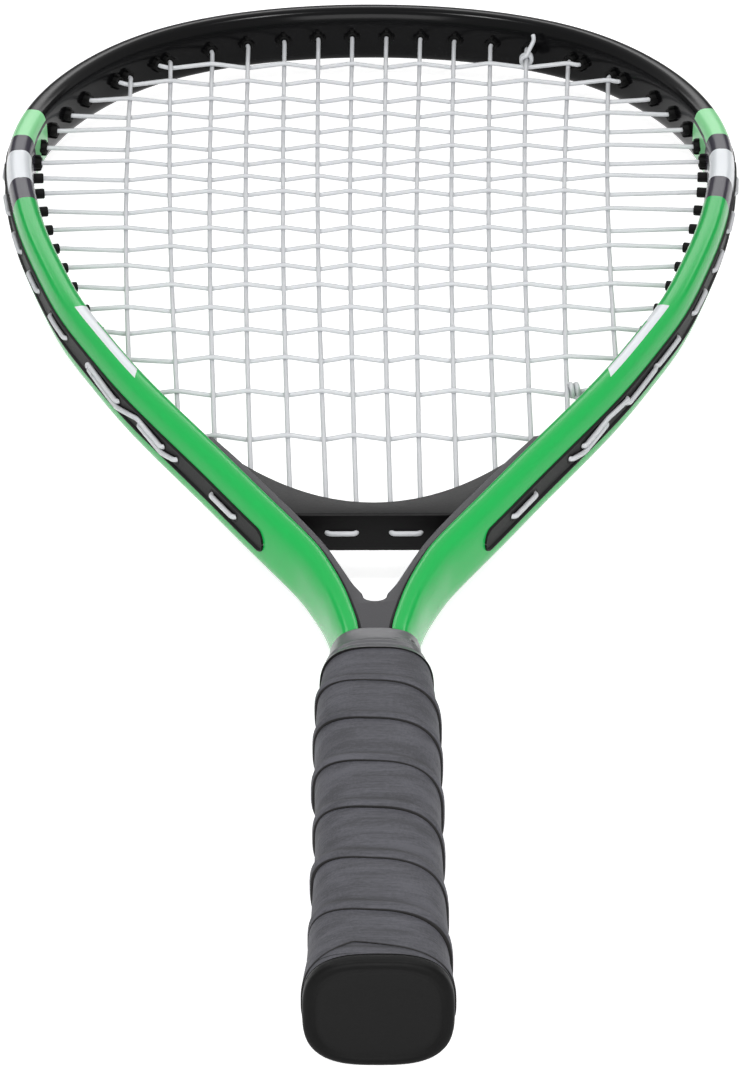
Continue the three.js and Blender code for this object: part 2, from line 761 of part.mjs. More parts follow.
function buttCap() {
  const atHeight = (y, inset) => [y, cap_half_width - inset, cap_half_depth - inset];
  const r = cap_edge_radius;
  const bevel = r * (1 - Math.SQRT1_2);
  const plate = toSolid(bodyAlong([
    atHeight(0, r), atHeight(bevel, bevel), atHeight(r, 0), atHeight(cap_plate_thickness, 0),
  ], cap_squareness, core_sides));
  const recess = toSolid(bodyAlong([
    atHeight(-cut_overrun, cap_rim_width), atHeight(cap_rim_rise, cap_rim_width),
  ], cap_squareness, core_sides));
  const plug_half_width = channel_half_width - seat_gap;
  const plug_half_depth = channel_half_depth - seat_gap;
  const plug = toSolid(bodyAlong([
    [cap_plate_thickness / 2, plug_half_width, plug_half_depth],
    [cap_plate_thickness + cap_plug_length, plug_half_width, plug_half_depth],
  ], channel_squareness, core_sides));
  return plate.subtract(recess).add(plug).subtract(staple(1, seat_gap)).subtract(staple(-1, seat_gap));
}

// Height of the wound strip's lower edge after a number of turns, smooth through the shares
function wrapEdge(turns) {
  const last = wrap_edge_shares.length - 1;
  const place = THREE.MathUtils.clamp(turns, 0, last);
  const index = Math.min(Math.floor(place), last - 1);
  const share = lerp(wrap_edge_shares[index], wrap_edge_shares[index + 1], place - index);
  return lerp(grip_start_y, grip_end_y, share);
}

// A point over the core: its turn angle, height and distance off the surface
function overCore(angle, y, off) {
  const [half_width, half_depth] = coreHalves(y);
  const power = 2 / core_squareness;
  const bend = (value) => Math.sign(value) * Math.abs(value) ** power;
  const x = (half_width + off) * bend(Math.cos(angle));
  return point(x, y, (half_depth + off) * bend(Math.sin(angle)));
}

// The wound grip strip, with a flat along its back where the racket rests on it
function gripWrap() {
  const last = wrap_edge_shares.length - 1;
  const rings = [];
  const base = wrap_seat_gap;
  const steps = (last + 1) * wrap_steps_per_turn;
  for (let step = 0; step <= steps; step++) {
    const turns = step / wrap_steps_per_turn - 1;
    const low = wrapEdge(turns);
    const high = turns + 1 >= last ? grip_end_y : wrapEdge(turns + 1) - wrap_turn_gap;
    const width = high - low;
    if (width < wrap_least_width) continue;
    const angle = Math.PI / 2 + turns * Math.PI * 2;
    const ridge = base + wrap_thickness + (low > grip_start_y ? wrap_ridge : 0);
    rings.push([
      overCore(angle, low, base), overCore(angle, low, ridge),
      overCore(angle, low + width * wrap_ridge_share, ridge),
      overCore(angle, low + width * wrap_step_share, base + wrap_thickness),
      overCore(angle, high, base + wrap_thickness), overCore(angle, high, base),
    ]);
  }
  console.log(`grip wrap least gap between turns ${leastTurnGap(rings).toFixed(2)} mm`);
  const whole = loft(rings);
  whole.computeBoundingBox();
  const { min, max } = whole.boundingBox;
  const keep = new THREE.BoxGeometry(cap_half_width * 4, overall_length, max.z - min.z + cut_overrun);
  keep.translate(0, overall_length / 2, (min.z + max.z + cut_overrun) / 2 + wrap_rest_cut);
  return toSolid(whole).intersect(toSolid(keep));
}

// Least distance between the upper edge of one turn and the lower edge of the next, ring by ring
function leastTurnGap(rings) {
  let least = Infinity;
  for (let ring = 0; ring + wrap_steps_per_turn < rings.length; ring++) {
    const above = rings[ring + wrap_steps_per_turn];
    for (const upper of rings[ring].slice(-2)) {
      for (const lower of above.slice(0, 2)) least = Math.min(least, upper.distanceTo(lower));
    }
  }
  return least;
}

// Glossy tape round the top of the grip and the two stems
function finishingTape() {
  const [core_width, core_depth] = coreHalves(tape_start_y);
  const low_half_width = core_width + seat_gap + wrap_thickness;
  const low_half_depth = core_depth + seat_gap + wrap_thickness;
  const stem_x = hoopPoint(roundAtHeight(tape_end_y, 0), 0).x;
  const high_half_width = stem_x + tube_half + seat_gap * 2 + tape_thickness;
  const high_half_depth = channel_half_depth + seat_gap + tape_thickness;
  const length = tape_end_y - tape_start_y;
  const outside = finish_shares.map(([share, keep]) => {
    const blend = (keep - finish_shares[3][1]) / (1 - finish_shares[3][1]);
    const half_width = lerp(high_half_width, low_half_width, blend);
    const half_depth = lerp(high_half_depth, low_half_depth, blend);
    return [tape_start_y + share * length, half_width, half_depth];
  });
  const [end_width, end_depth] = coreHalves(core_end_y);
  const inside = [
    [tape_start_y - cut_overrun, core_width + seat_gap, core_depth + seat_gap],
    [tape_start_y, core_width + seat_gap, core_depth + seat_gap],
    [core_end_y, end_width + seat_gap, end_depth + seat_gap],
    [core_end_y + seat_gap, end_width + seat_gap, end_depth + seat_gap],
  ];
  const neck = [
    [core_end_y, high_half_width - tape_thickness, channel_half_depth + seat_gap],
    [tape_end_y + cut_overrun, high_half_width - tape_thickness, channel_half_depth + seat_gap],
  ];
  return toSolid(bodyAlong(outside, core_squareness, core_sides))
    .subtract(toSolid(bodyAlong(inside, core_squareness, core_sides)))
    .subtract(toSolid(bodyAlong(neck, channel_squareness, core_sides)));
}

// Finishes
const finishes = {
  green_paint: { color: 0x3fb75e, roughness: 0.25, metalness: 0 },
  black_plastic: { color: 0x232323, roughness: 0.45, metalness: 0 },
  yoke_plastic: { color: 0x3b3a3d, roughness: 0.4, metalness: 0 },
  nylon: { color: 0xe9ebee, roughness: 0.35, metalness: 0 },
  grip_leather: { color: 0x67676b, roughness: 0.75, metalness: 0 },
  vinyl_tape: { color: 0x6a6a70, roughness: 0.25, metalness: 0 },
  core_foam: { color: 0xc9b98f, roughness: 0.8, metalness: 0 },
  cap_rubber: { color: 0x1c1c1c, roughness: 0.6, metalness: 0 },
  staple_steel: { color: 0xb8babd, roughness: 0.35, metalness: 1 },
};

const racket = new THREE.Group();

function addPiece(name, shape, finish) {
  const geometry = shape instanceof THREE.BufferGeometry ? shape : toGeometry(shape);
  geometry.computeVertexNormals();
  const mesh = new THREE.Mesh(geometry, new THREE.MeshStandardMaterial(finishes[finish]));
  mesh.name = name;
  racket.add(mesh);
}

addPiece('frame_tube', frameTube(), 'green_paint');
addPiece('throat_yoke', throatYoke(), 'yoke_plastic');
const bumper = grommetStrip(bumper_low_round, mirrored(bumper_low_round));
const right_strip = grommetStrip(strip_low_round, strip_high_round);
const left_strip = grommetStrip(mirrored(strip_high_round), mirrored(strip_low_round));
addPiece('head_bumper', bumper, 'black_plastic');
addPiece('right_grommet_strip', right_strip, 'black_plastic');
addPiece('left_grommet_strip', left_strip, 'black_plastic');
addPiece('main_string', stringTube(mainRoute()), 'nylon');
addPiece('cross_string', stringTube(crossRoute()), 'nylon');

const core = handleCore();
addPiece('front_handle_half', handleHalf(core, 1), 'core_foam');
addPiece('back_handle_half', handleHalf(core, -1), 'core_foam');
addPiece('butt_cap', buttCap(), 'cap_rubber');
addPiece('front_cap_staple', staple(1, 0), 'staple_steel');
addPiece('back_cap_staple', staple(-1, 0), 'staple_steel');
addPiece('grip_wrap', gripWrap(), 'grip_leather');
addPiece('finishing_tape', finishingTape(), 'vinyl_tape');

// The origin is the middle of the base of the racket's bounding box
const bounds = new THREE.Box3().setFromObject(racket);
const middle = bounds.getCenter(point(0, 0));
racket.position.set(-middle.x, -middle.y, -bounds.min.z);

export default racket;
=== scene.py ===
"""Looks of a strung crossminton racket, laid flat, built round its CAD solids.

Shapes are worked out in millimetres in the racket's own plane: x across the head, y from the
butt to the tip and z out of the string bed. place() moves them into the frame, in metres.
"""

import math

import bpy
import numpy as np
from bpy.props import FloatProperty, FloatVectorProperty, PointerProperty
from mathutils import Matrix, Vector


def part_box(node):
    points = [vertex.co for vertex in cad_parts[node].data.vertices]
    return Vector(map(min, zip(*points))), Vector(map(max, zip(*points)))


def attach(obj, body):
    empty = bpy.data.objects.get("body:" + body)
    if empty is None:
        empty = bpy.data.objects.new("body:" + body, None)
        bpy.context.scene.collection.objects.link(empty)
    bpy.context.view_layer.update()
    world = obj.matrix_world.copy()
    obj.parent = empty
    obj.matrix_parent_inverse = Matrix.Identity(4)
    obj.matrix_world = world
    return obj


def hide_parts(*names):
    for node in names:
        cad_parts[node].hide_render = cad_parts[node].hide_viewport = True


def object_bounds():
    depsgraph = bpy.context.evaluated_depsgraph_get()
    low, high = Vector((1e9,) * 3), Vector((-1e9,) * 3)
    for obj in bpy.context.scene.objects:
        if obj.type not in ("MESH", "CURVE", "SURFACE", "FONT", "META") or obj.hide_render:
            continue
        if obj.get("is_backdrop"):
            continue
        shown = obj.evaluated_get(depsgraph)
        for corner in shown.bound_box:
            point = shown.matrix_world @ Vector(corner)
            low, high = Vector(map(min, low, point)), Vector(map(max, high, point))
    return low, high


bl_info = {
    "name": "Crossminton Racket",
    "version": (1, 0, 0),
    "blender": (4, 5, 0),
    "location": "3D View > Sidebar > Racket",
    "description": "Builds a strung crossminton racket and its studio from surfaces worked out with numpy",
    "category": "Add Mesh",
}

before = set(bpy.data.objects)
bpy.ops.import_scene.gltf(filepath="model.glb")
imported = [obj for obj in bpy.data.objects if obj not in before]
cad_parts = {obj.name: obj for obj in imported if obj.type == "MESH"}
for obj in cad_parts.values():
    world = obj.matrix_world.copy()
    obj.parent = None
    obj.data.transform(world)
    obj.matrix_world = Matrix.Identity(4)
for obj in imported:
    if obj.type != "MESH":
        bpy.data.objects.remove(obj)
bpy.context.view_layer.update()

# Where the racket's own plane lies in the frame, in metres
MM = 0.001
tube_low, tube_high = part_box("frame_tube")
cap_low, cap_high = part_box("butt_cap")
ORIGIN = np.array([(tube_low.x + tube_high.x) / 2, cap_low.y, (tube_low.z + tube_high.z) / 2])


def place(points):
    """Points in millimetres in the racket's plane, as metres in the frame."""
    return np.asarray(points, float) * MM + ORIGIN


# Hoop tube: half width, half depth and wall of its section
TUBE_HALF = 4.4
TUBE_DEEP = 9.5
TUBE_WALL = 0.9
# How far the bore is followed into each stem, out of sight in the handle
BORE_DEPTH = 12.0
# Squareness of the tube's section by height on the hoop, rounder down at the stems
TUBE_SQUARENESS = np.array(((150.0, 2.3), (187.0, 2.4), (205.0, 2.75), (240.0, 2.9), (420.0, 3.1)))
# Its centre line from the stems to the tip, by shares of the way out and up
STEM_HALF = 6.1
TUBE_END_Y = 18.0
NECK_Y = 161.0
WIDEST_Y = 470.49
HOOP_HALF = 114.2
TIP_Y = 584.2
STEM_SHARES = (0, 0.35, 0.7, 1)
ARM_SHARES = (
    (0.012, 0.033), (0.031, 0.066), (0.054, 0.096), (0.086, 0.129), (0.118, 0.156),
    (0.232, 0.233), (0.359, 0.319), (0.489, 0.405), (0.604, 0.485), (0.701, 0.562),
    (0.786, 0.636), (0.857, 0.717), (0.925, 0.809), (0.974, 0.901), (1, 1),
)
HEAD_SHARES = ((0.961, 0.289), (0.838, 0.575), (0.623, 0.818), (0.326, 0.958), (0, 1))

# Strips: gap to what lies beside them, height, and the depth of the trough for the string
STRIP_SEAT = 0.3
STRIP_TALL = 7.2
STRIP_TROUGH = 0.6
# A strip's outer face from the hoop's centre line, and how far its underside sinks in the tube
STRIP_FACE = 5.0
STRIP_SINK = 0.9
STRIP_LOW_Y = 223.0
BUMPER_LOW_Y = 470.99
# String barrels: radii, and how far they stand out of the tube toward the strings
BARREL_RADIUS = 1.65
HEAD_BARREL_RADIUS = 1.95
BARREL_BORE = 1.05
BARREL_STAND = 3.2
HEAD_BARREL_STAND = 2.1
SHARED_BARREL_RADIUS = 2.45
SHARED_BARREL_BORE = 1.85
# How far a barrel's outer end stands over the trough, and how far the string's bend lies past a mouth
BARREL_RISE = 0.06
MOUTH_PAST = 0.3
# The longest way in to the yoke's bowl, and the cover over the tube past which a barrel goes through it
BOWL_REACH = 28
BOWL_COVER = 0.1
# Fins round a head barrel: half sizes, how far they sink in the tube and stop short of the mouth,
# the share of their length that is straight, and the share of their size that is left at the tip
RIB_HALF_WIDE = 2.7
RIB_HALF_THICK = 0.55
RIB_SINK = 0.4
RIB_SHORT = 0.3
RIB_STRAIGHT_SHARE = 0.75
RIB_TIP_SHARE = 0.88

# Throat yoke
BRIDGE_BACK_Y = 229.7
BRIDGE_FRONT_Y = 236.9
BRIDGE_HALF_DEEP = 6.0
YOKE_END_Y = 272.0
YOKE_HALF_DEEP = 8.1
# Painted shadow of the gap between yoke and tube, by height off the middle of the tube
YOKE_GAP_SHADE = (6.5, 9.05)
# Inner faces of the fork's legs: height of the hoop's middle, and the way in from it
LEG_FACE = np.array((
    (181.5, 6.2), (186.0, 5.2), (192.0, 4.8), (200.0, 4.75),
    (212.0, 5.1), (230.0, 5.5), (248.0, 5.3), (272.0, 4.5),
))
CROTCH_Y = 178.8
CROTCH_RADIUS = 2.7
WEDGE_END_Y = 146.0

# Stringing: gap between crossing strings, and between strings side by side on a strip
WEAVE_GAP = 0.22
STRING_GAP = 0.3
# Sideways bow of the main strings at mid length, to the left, as play pulls them over
MAIN_BOW = -1.25
# Length over which a string runs straight under a knot, and the least run before it
KNOT_REACH = 8.0
KNOT_LEAD = 1.0
# A knot's turns round the string: gap, place of the first one and pitch, then its tail's points
# across, back and as a share of the tail's rise
KNOT_GAP = 0.25
KNOT_START = 2.6
KNOT_PITCH = 1.7
KNOT_TAIL = np.array([(1.2, 2.4, 0.35), (2.6, 3.6, 0.75), (2.2, 4.6, 1)])
END_TAIL_RISE = 6.0
# Points of the string outside the strip: their spacing, and how near one may lie to a hole
OUTER_STEP = 5.0
OUTER_LEAST = 2.0
# Length past the last main string's hole at which one string node hands over to the other
SPLICE_PAST = 4.0
MAIN_TIP_SHARES = (0.052, 0.155, 0.258, 0.368, 0.476, 0.6, 0.715)
MAIN_THROAT_SHARES = (0.042, 0.116, 0.209, 0.308, 0.403, 0.503, 0.643)
ROW_SHARES = (
    0, 0.053, 0.108, 0.154, 0.2, 0.25, 0.294, 0.338, 0.381, 0.431,
    0.482, 0.532, 0.583, 0.633, 0.691, 0.747, 0.816, 0.897, 1,
)
FIRST_ROW_Y = 554.5
LAST_ROW_Y = 285.79
# Main strings on each side that pass through the bridge, the one that carries the end knot, and the
# row that carries the first knot
BRIDGE_MAINS = 2
END_MAIN = 4
START_ROW = 17

# Handle: the butt cap, and the core under the grip by shares of the cap's half sizes
CAP_THICK = 3.6
PLUG_RISE = 9.0
CAP_HALF_WIDE = 18.0
CAP_HALF_DEEP = 15.1
CAP_SQUARENESS = 2.9
# How much of each step inward across the cap is taken in its depth
CAP_DEEP_SHARE = 0.93
CORE_SQUARENESS = 2.8
CORE_START_Y = 3.9
CORE_END_Y = 148.0
CORE_SHARES = np.array((
    (0, 0.867, 0.84), (0.09, 0.85, 0.825), (0.23, 0.815, 0.8), (0.42, 0.775, 0.777),
    (0.68, 0.793, 0.782), (0.86, 0.78, 0.775), (0.94, 0.74, 0.752), (1, 0.69, 0.738),
))
# Lower edge of each turn of the grip strip at the front, and the length of a turn
WRAP_EDGES_Y = (3.9, 22.5, 45.4, 68.3, 89.8, 109.7, 128.3, 146.6)
TURN_LENGTH = 96.0
# The grip widens toward the cap below this height, by so much
FLARE_END_Y = 22.0
FLARE_WIDE = 0.7
FLARE_DEEP = 0.4
TAPE_START_Y = 145.6
# How far the grip leans to the right over the core
GRIP_LEAN = 0.35

# Painted bands by height of their lower ends, and the bar on each arm by length and place across
BAND_ENDS_Y = (429.3, 444.3, 465.1, 476.9, 496.9)
BAR_LOW, BAR_HIGH = 303.8, 352.5
BAR_INNER, BAR_OUTER = -1.9, 1.1
BAR_SLANT = 1.67
HOOK_LOW, HOOK_INNER = 341.0, -3.4
# The thin line beside the bar, and painted shade along the tube's inner front edge above the shoulders
LINE_LOW, LINE_INNER, LINE_OUTER = 306.8, -2.7, -2.4
EDGE_SHADE_LOW_Y, EDGE_SHADE_INNER, EDGE_SHADE_OUTER = 420.0, -4.2, -4.0
# Share of the tube's half depth past which a place lies on its front or back face
FACE_SHARE = 0.4


def linear(hex_colour):
    """An sRGB hex colour as linear red, green and blue."""
    values = [int(hex_colour[i:i + 2], 16) / 255 for i in (1, 3, 5)]
    return tuple(v / 12.92 if v <= 0.04045 else ((v + 0.055) / 1.055) ** 2.4 for v in values)


def colour(name, words, hex_colour):
    """A colour that a user would change."""
    return FloatVectorProperty(name=name, description=words, subtype="COLOR", size=3, min=0, max=1,
                               default=linear(hex_colour))


def length(name, words, millimetres):
    """A size that a user would change, kept in metres."""
    return FloatProperty(name=name, description=words, unit="LENGTH", min=0, precision=5,
                         default=millimetres * MM)


class RacketColours(bpy.types.PropertyGroup):
    """Colours of the racket's finishes."""

    green: colour("Lacquer green", "Green of the hoop's arms", "#20B856")
    light_green: colour("Light green band", "Pale green band beside the black head", "#98E8A6")
    band_grey: colour("Grey band", "Grey bands beside the white one", "#3C3944")
    band_white: colour("White band", "White band and bars on the hoop", "#EAEEF2")
    bar_line: colour("Bar line", "Thin line beside the white bars", "#7FA98C")
    head_black: colour("Head black", "Black lacquer of the head", "#0C0C0D")
    strip_black: colour("Strip black", "Black of the bumper, strips and bridge", "#080708")
    # Painted shade: the barrels and fins are the strips' own nylon made darker for the shade they lie in,
    # and this black also paints the shadow of the gap beside the yoke
    barrel_shade_black: colour("Barrel black", "Black of the barrels that line the holes", "#060606")
    yoke_grey: colour("Yoke grey", "Dark grey of the yoke's fork", "#28272C")
    string_white: colour("String white", "White of the nylon string", "#D0D2D5")
    grip_grey: colour("Grip grey", "Grey of the wound grip", "#4C4C52")
    # The grip's edge face is dark in itself; this black also paints the shadow under each turn's edge and
    # along the tape's lower edge, and the shade in the grip's folds and under the tape's loose edge
    grip_edge: colour("Grip edge", "Cut edge of the grip strip", "#0B0909")
    tape_grey: colour("Tape grey", "Grey of the finishing tape", "#505054")
    cap_black: colour("Cap black", "Black of the butt cap's rim and side", "#060606")
    cap_face: colour("Cap face", "Black of the butt cap's duller end face", "#131313")


class RacketSizes(bpy.types.PropertyGroup):
    """Sizes of the racket's finer parts."""

    string_across: length("String thickness", "Diameter of the nylon string", 1.5)
    wrap_thick: length("Grip thickness", "Height of the wound strip's face over the core", 1.85)
    wrap_ridge: length("Grip ridge", "Rise of a turn's edge over the turn below", 0.8)
    tape_thick: length("Tape thickness", "Thickness of the finishing tape", 0.9)
    yoke_edge: length("Yoke edge", "Rounding of the yoke's edges", 0.7)
    floor_half: length("Floor half width", "Half the width of the studio floor", 4000)


# Curves and meshes


def natural_spline(knots, values, at):
    """A cubic through the values at the knots, straight at both ends, read at the given places."""
    step = np.diff(knots)
    slope = np.diff(values, axis=0) / step[:, None]
    count = len(knots)
    inner = np.arange(1, count - 1)
    rows = np.eye(count)
    rows[inner, inner - 1] = step[:-1]
    rows[inner, inner] = 2 * (step[:-1] + step[1:])
    rows[inner, inner + 1] = step[1:]
    right = np.zeros_like(values)
    right[1:-1] = 6 * np.diff(slope, axis=0)
    bend = np.linalg.solve(rows, right)
    span = np.clip(np.searchsorted(knots, at, side="right") - 1, 0, count - 2)
    wide = step[span][:, None]
    after = (at - knots[span])[:, None] / wide
    before = 1 - after
    curve = ((before ** 3 - before) * bend[span] + (after ** 3 - after) * bend[span + 1]) * wide ** 2 / 6
    return before * values[span] + after * values[span + 1] + curve


class HoopLine:
    """The hoop's centre line as a fine table by length from the right stem's end."""

    def __init__(self):
        right = [(STEM_HALF, TUBE_END_Y + (NECK_Y - TUBE_END_Y) * up) for up in STEM_SHARES]
        right += [(STEM_HALF + (HOOP_HALF - STEM_HALF) * out, NECK_Y + (WIDEST_Y - NECK_Y) * up)
                  for out, up in ARM_SHARES]
        right += [(HOOP_HALF * out, WIDEST_Y + (TIP_Y - WIDEST_Y) * up) for out, up in HEAD_SHARES]
        points = np.array(right + [(-x, y) for x, y in right[-2::-1]], float)
        knots = np.r_[0, np.cumsum(np.hypot(*np.diff(points, axis=0).T) ** 0.5)]
        self.middle = natural_spline(knots, points, np.linspace(0, knots[-1], 12001))
        self.arc = np.r_[0, np.cumsum(np.hypot(*np.diff(self.middle, axis=0).T))]
        self.total = self.arc[-1]
        self.tip = self.total / 2
        along = np.gradient(self.middle, self.arc, axis=0)
        along /= np.hypot(*along.T)[:, None]
        self.outward = np.c_[along[:, 1], -along[:, 0]]
        self.neck = self.arc_where(self.middle[:, 1], NECK_Y, 0, self.tip)
        self.widest = self.arc_where(self.middle[:, 1], WIDEST_Y, 0, self.tip)

    def arc_where(self, values, target, start, end):
        """The first length between start and end at which the tabled values pass the target."""
        inside = (self.arc >= start) & (self.arc <= end)
        arc = self.arc[inside]
        miss = values[inside] - target
        first = np.nonzero(miss[:-1] * miss[1:] <= 0)[0][0]
        return arc[first] + (arc[first + 1] - arc[first]) * miss[first] / (miss[first] - miss[first + 1])

    def beside(self, out):
        """The whole line moved outward by out, as x and y."""
        return self.middle + self.outward * np.asarray(out, float).reshape(-1, 1)

    def at(self, arc, out=0.0, up=0.0):
        """Points at lengths arc, moved outward and up; the three are arrays of one shape."""
        arc, out, up = np.broadcast_arrays(np.asarray(arc, float), out, up)
        x, y = (np.interp(arc, self.arc, self.middle[:, i]) for i in (0, 1))
        nx, ny = (np.interp(arc, self.arc, self.outward[:, i]) for i in (0, 1))
        return np.stack([x + nx * out, y + ny * out, up], -1)

    def at_height(self, y, out=0.0):
        """The length on the right half at which the line moved outward reaches height y."""
        return self.arc_where(self.beside(out)[:, 1], y, 0, self.tip)


HOOP = HoopLine()


def mirrored(arc):
    """The same place on the other half of the hoop."""
    return HOOP.total - arc


def superellipse(half_wide, half_tall, squareness, turn):
    """x = a·sgn(cos)|cos|^(2/n) and z = b·sgn(sin)|sin|^(2/n) at the angles turn."""
    power = 2 / squareness
    cosine, sine = np.cos(turn), np.sin(turn)
    return (half_wide * np.sign(cosine) * np.abs(cosine) ** power,
            half_tall * np.sign(sine) * np.abs(sine) ** power)


def around(sides):
    """Angles of a ring's points, the first half a step on."""
    return (np.arange(sides) + 0.5) / sides * 2 * math.pi


def build_mesh(name, points, faces, attributes=None, crease=40):
    """A smooth mesh at the origin from points in millimetres, its faces turned outward."""
    points = place(points)
    corners = np.concatenate([f[:, [0, i, i + 1]] for f in faces for i in range(1, f.shape[1] - 1)])
    a, b, c = (points[corners[:, i]] - ORIGIN for i in range(3))
    if np.einsum("ij,ij->", a, np.cross(b, c)) < 0:
        faces = [f[:, ::-1] for f in faces]
    mesh = bpy.data.meshes.new(name)
    mesh.from_pydata(points.tolist(), [], [row for f in faces for row in f.tolist()])
    for key, values in (attributes or {}).items():
        numbers = np.asarray(values, np.float32).ravel()
        mesh.attributes.new(key, "FLOAT", "POINT").data.foreach_set("value", numbers)
    mesh.shade_smooth()
    mesh.set_sharp_from_angle(angle=math.radians(crease))
    made = bpy.data.objects.new(name, mesh)
    bpy.context.scene.collection.objects.link(made)
    return made


def grid_faces(rings, sides, loop=False, start=0):
    """Quads between neighbouring rings of a grid whose rings are closed."""
    ring = np.arange(rings if loop else rings - 1)[:, None]
    side = np.arange(sides)[None, :]
    here, after = ring * sides, (ring + 1) % rings * sides
    ahead = (side + 1) % sides
    return np.stack([here + side, here + ahead, after + ahead, after + side], -1).reshape(-1, 4) + start


def skin(rings, loop=False, start=0):
    """Faces of a carried profile: quads between rings, and a flat end on each unless it loops."""
    count, sides = rings.shape[:2]
    faces = [grid_faces(count, sides, loop, start)]
    if not loop:
        ends = np.arange(sides)
        faces += [(ends[::-1] + start)[None], (ends + (count - 1) * sides + start)[None]]
    return faces


def skin_mesh(name, rings, attributes=None, crease=40, loop=False):
    """A mesh from one grid of rings, an array of ring, point and x, y, z."""
    return build_mesh(name, rings.reshape(-1, 3), skin(rings, loop), attributes, crease)


def many_skins(name, shells, crease=40, loop=False, attributes=None):
    """A mesh from several grids of rings that stand clear of each other."""
    faces, start = [], 0
    for rings in shells:
        faces += skin(rings, loop, start)
        start += rings.shape[0] * rings.shape[1]
    return build_mesh(name, np.concatenate([r.reshape(-1, 3) for r in shells]), faces, attributes, crease)


def finish(piece, material, slot, *nodes):
    """Gives a finished piece its material, and lets it stand for its CAD nodes."""
    piece.data.materials.append(material)
    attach(piece, "root")
    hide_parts(*nodes)
    return piece


# Materials. An IOR under the usual 1.5 keeps the gloss on dark plastic and lacquer as weak as it looks


def add_node(tree, kind, sockets=None, **settings):
    """A node with its settings, and its sockets set to values or linked from other sockets."""
    made = tree.nodes.new(kind)
    for key, value in settings.items():
        setattr(made, key, value)
    for key, value in (sockets or {}).items():
        if isinstance(value, bpy.types.NodeSocket):
            tree.links.new(value, made.inputs[key])
        else:
            made.inputs[key].default_value = value
    return made


def new_material(name, rgb, **shader):
    """A material with one Principled shader, its constants set on the shader's own sockets."""
    material = bpy.data.materials.new(name)
    material.use_nodes = True
    tree = material.node_tree
    tree.nodes.clear()
    sockets = {key.replace("_", " "): value for key, value in shader.items()}
    surface = add_node(tree, "ShaderNodeBsdfPrincipled", {"Base Color": (*rgb, 1), **sockets})
    add_node(tree, "ShaderNodeOutputMaterial", {"Surface": surface.outputs["BSDF"]})
    material.diffuse_color = (*rgb, 1)
    return material, tree, surface


def add_grain(tree, surface, rgb, grain_mm, height_mm, shade, stretch=(1, 1, 1), roughness=None):
    """Noise of that grain size in Object coordinates, as bump, shade and roughness."""
    spot = add_node(tree, "ShaderNodeTexCoord").outputs["Object"]
    scaled = add_node(tree, "ShaderNodeMapping", {"Vector": spot, "Scale": stretch})
    noise = add_node(tree, "ShaderNodeTexNoise", {
        "Vector": scaled.outputs["Vector"], "Scale": 1 / (grain_mm * MM), "Detail": 3.0})
    bump = add_node(tree, "ShaderNodeBump", {
        "Height": noise.outputs["Fac"], "Distance": height_mm * MM, "Strength": 1.0})
    tree.links.new(bump.outputs["Normal"], surface.inputs["Normal"])
    dark = tuple(v * (1 - shade) for v in rgb)
    pale = tuple(min(1, v * (1 + shade)) for v in rgb)
    tree.links.new(blend(tree, noise.outputs["Fac"], dark, pale), surface.inputs["Base Color"])
    if roughness:
        spread = add_node(tree, "ShaderNodeMapRange", {
            "Value": noise.outputs["Fac"], "To Min": roughness[0], "To Max": roughness[1]})
        tree.links.new(spread.outputs["Result"], surface.inputs["Roughness"])


def maths(tree, operation, *values):
    """The result of a math node on values or other nodes' results."""
    return add_node(tree, "ShaderNodeMath", dict(enumerate(values)), operation=operation).outputs[0]


def blend(tree, factor, below, above):
    """One colour over another by a mask; each is linear RGB or another node's result."""
    below, above = (c if isinstance(c, bpy.types.NodeSocket) else (*c, 1) for c in (below, above))
    mixed = add_node(tree, "ShaderNodeMix", {"Factor": factor, "A": below, "B": above}, data_type="RGBA")
    return mixed.outputs["Result"]


def band(tree, value, low, high):
    """1 where the value lies between low and high, else 0."""
    return maths(tree, "COMPARE", value, (low + high) / 2, (high - low) / 2)


def own_attribute(tree, key):
    """The mesh's own number of that name at each point."""
    return add_node(tree, "ShaderNodeAttribute", attribute_name=key).outputs["Fac"]


def paint_over(tree, surface, key, rgb):
    """Another colour over the shader's own where the mesh's attribute says so."""
    below = surface.inputs["Base Color"].links[0].from_socket
    tree.links.new(blend(tree, own_attribute(tree, key), below, rgb), surface.inputs["Base Color"])


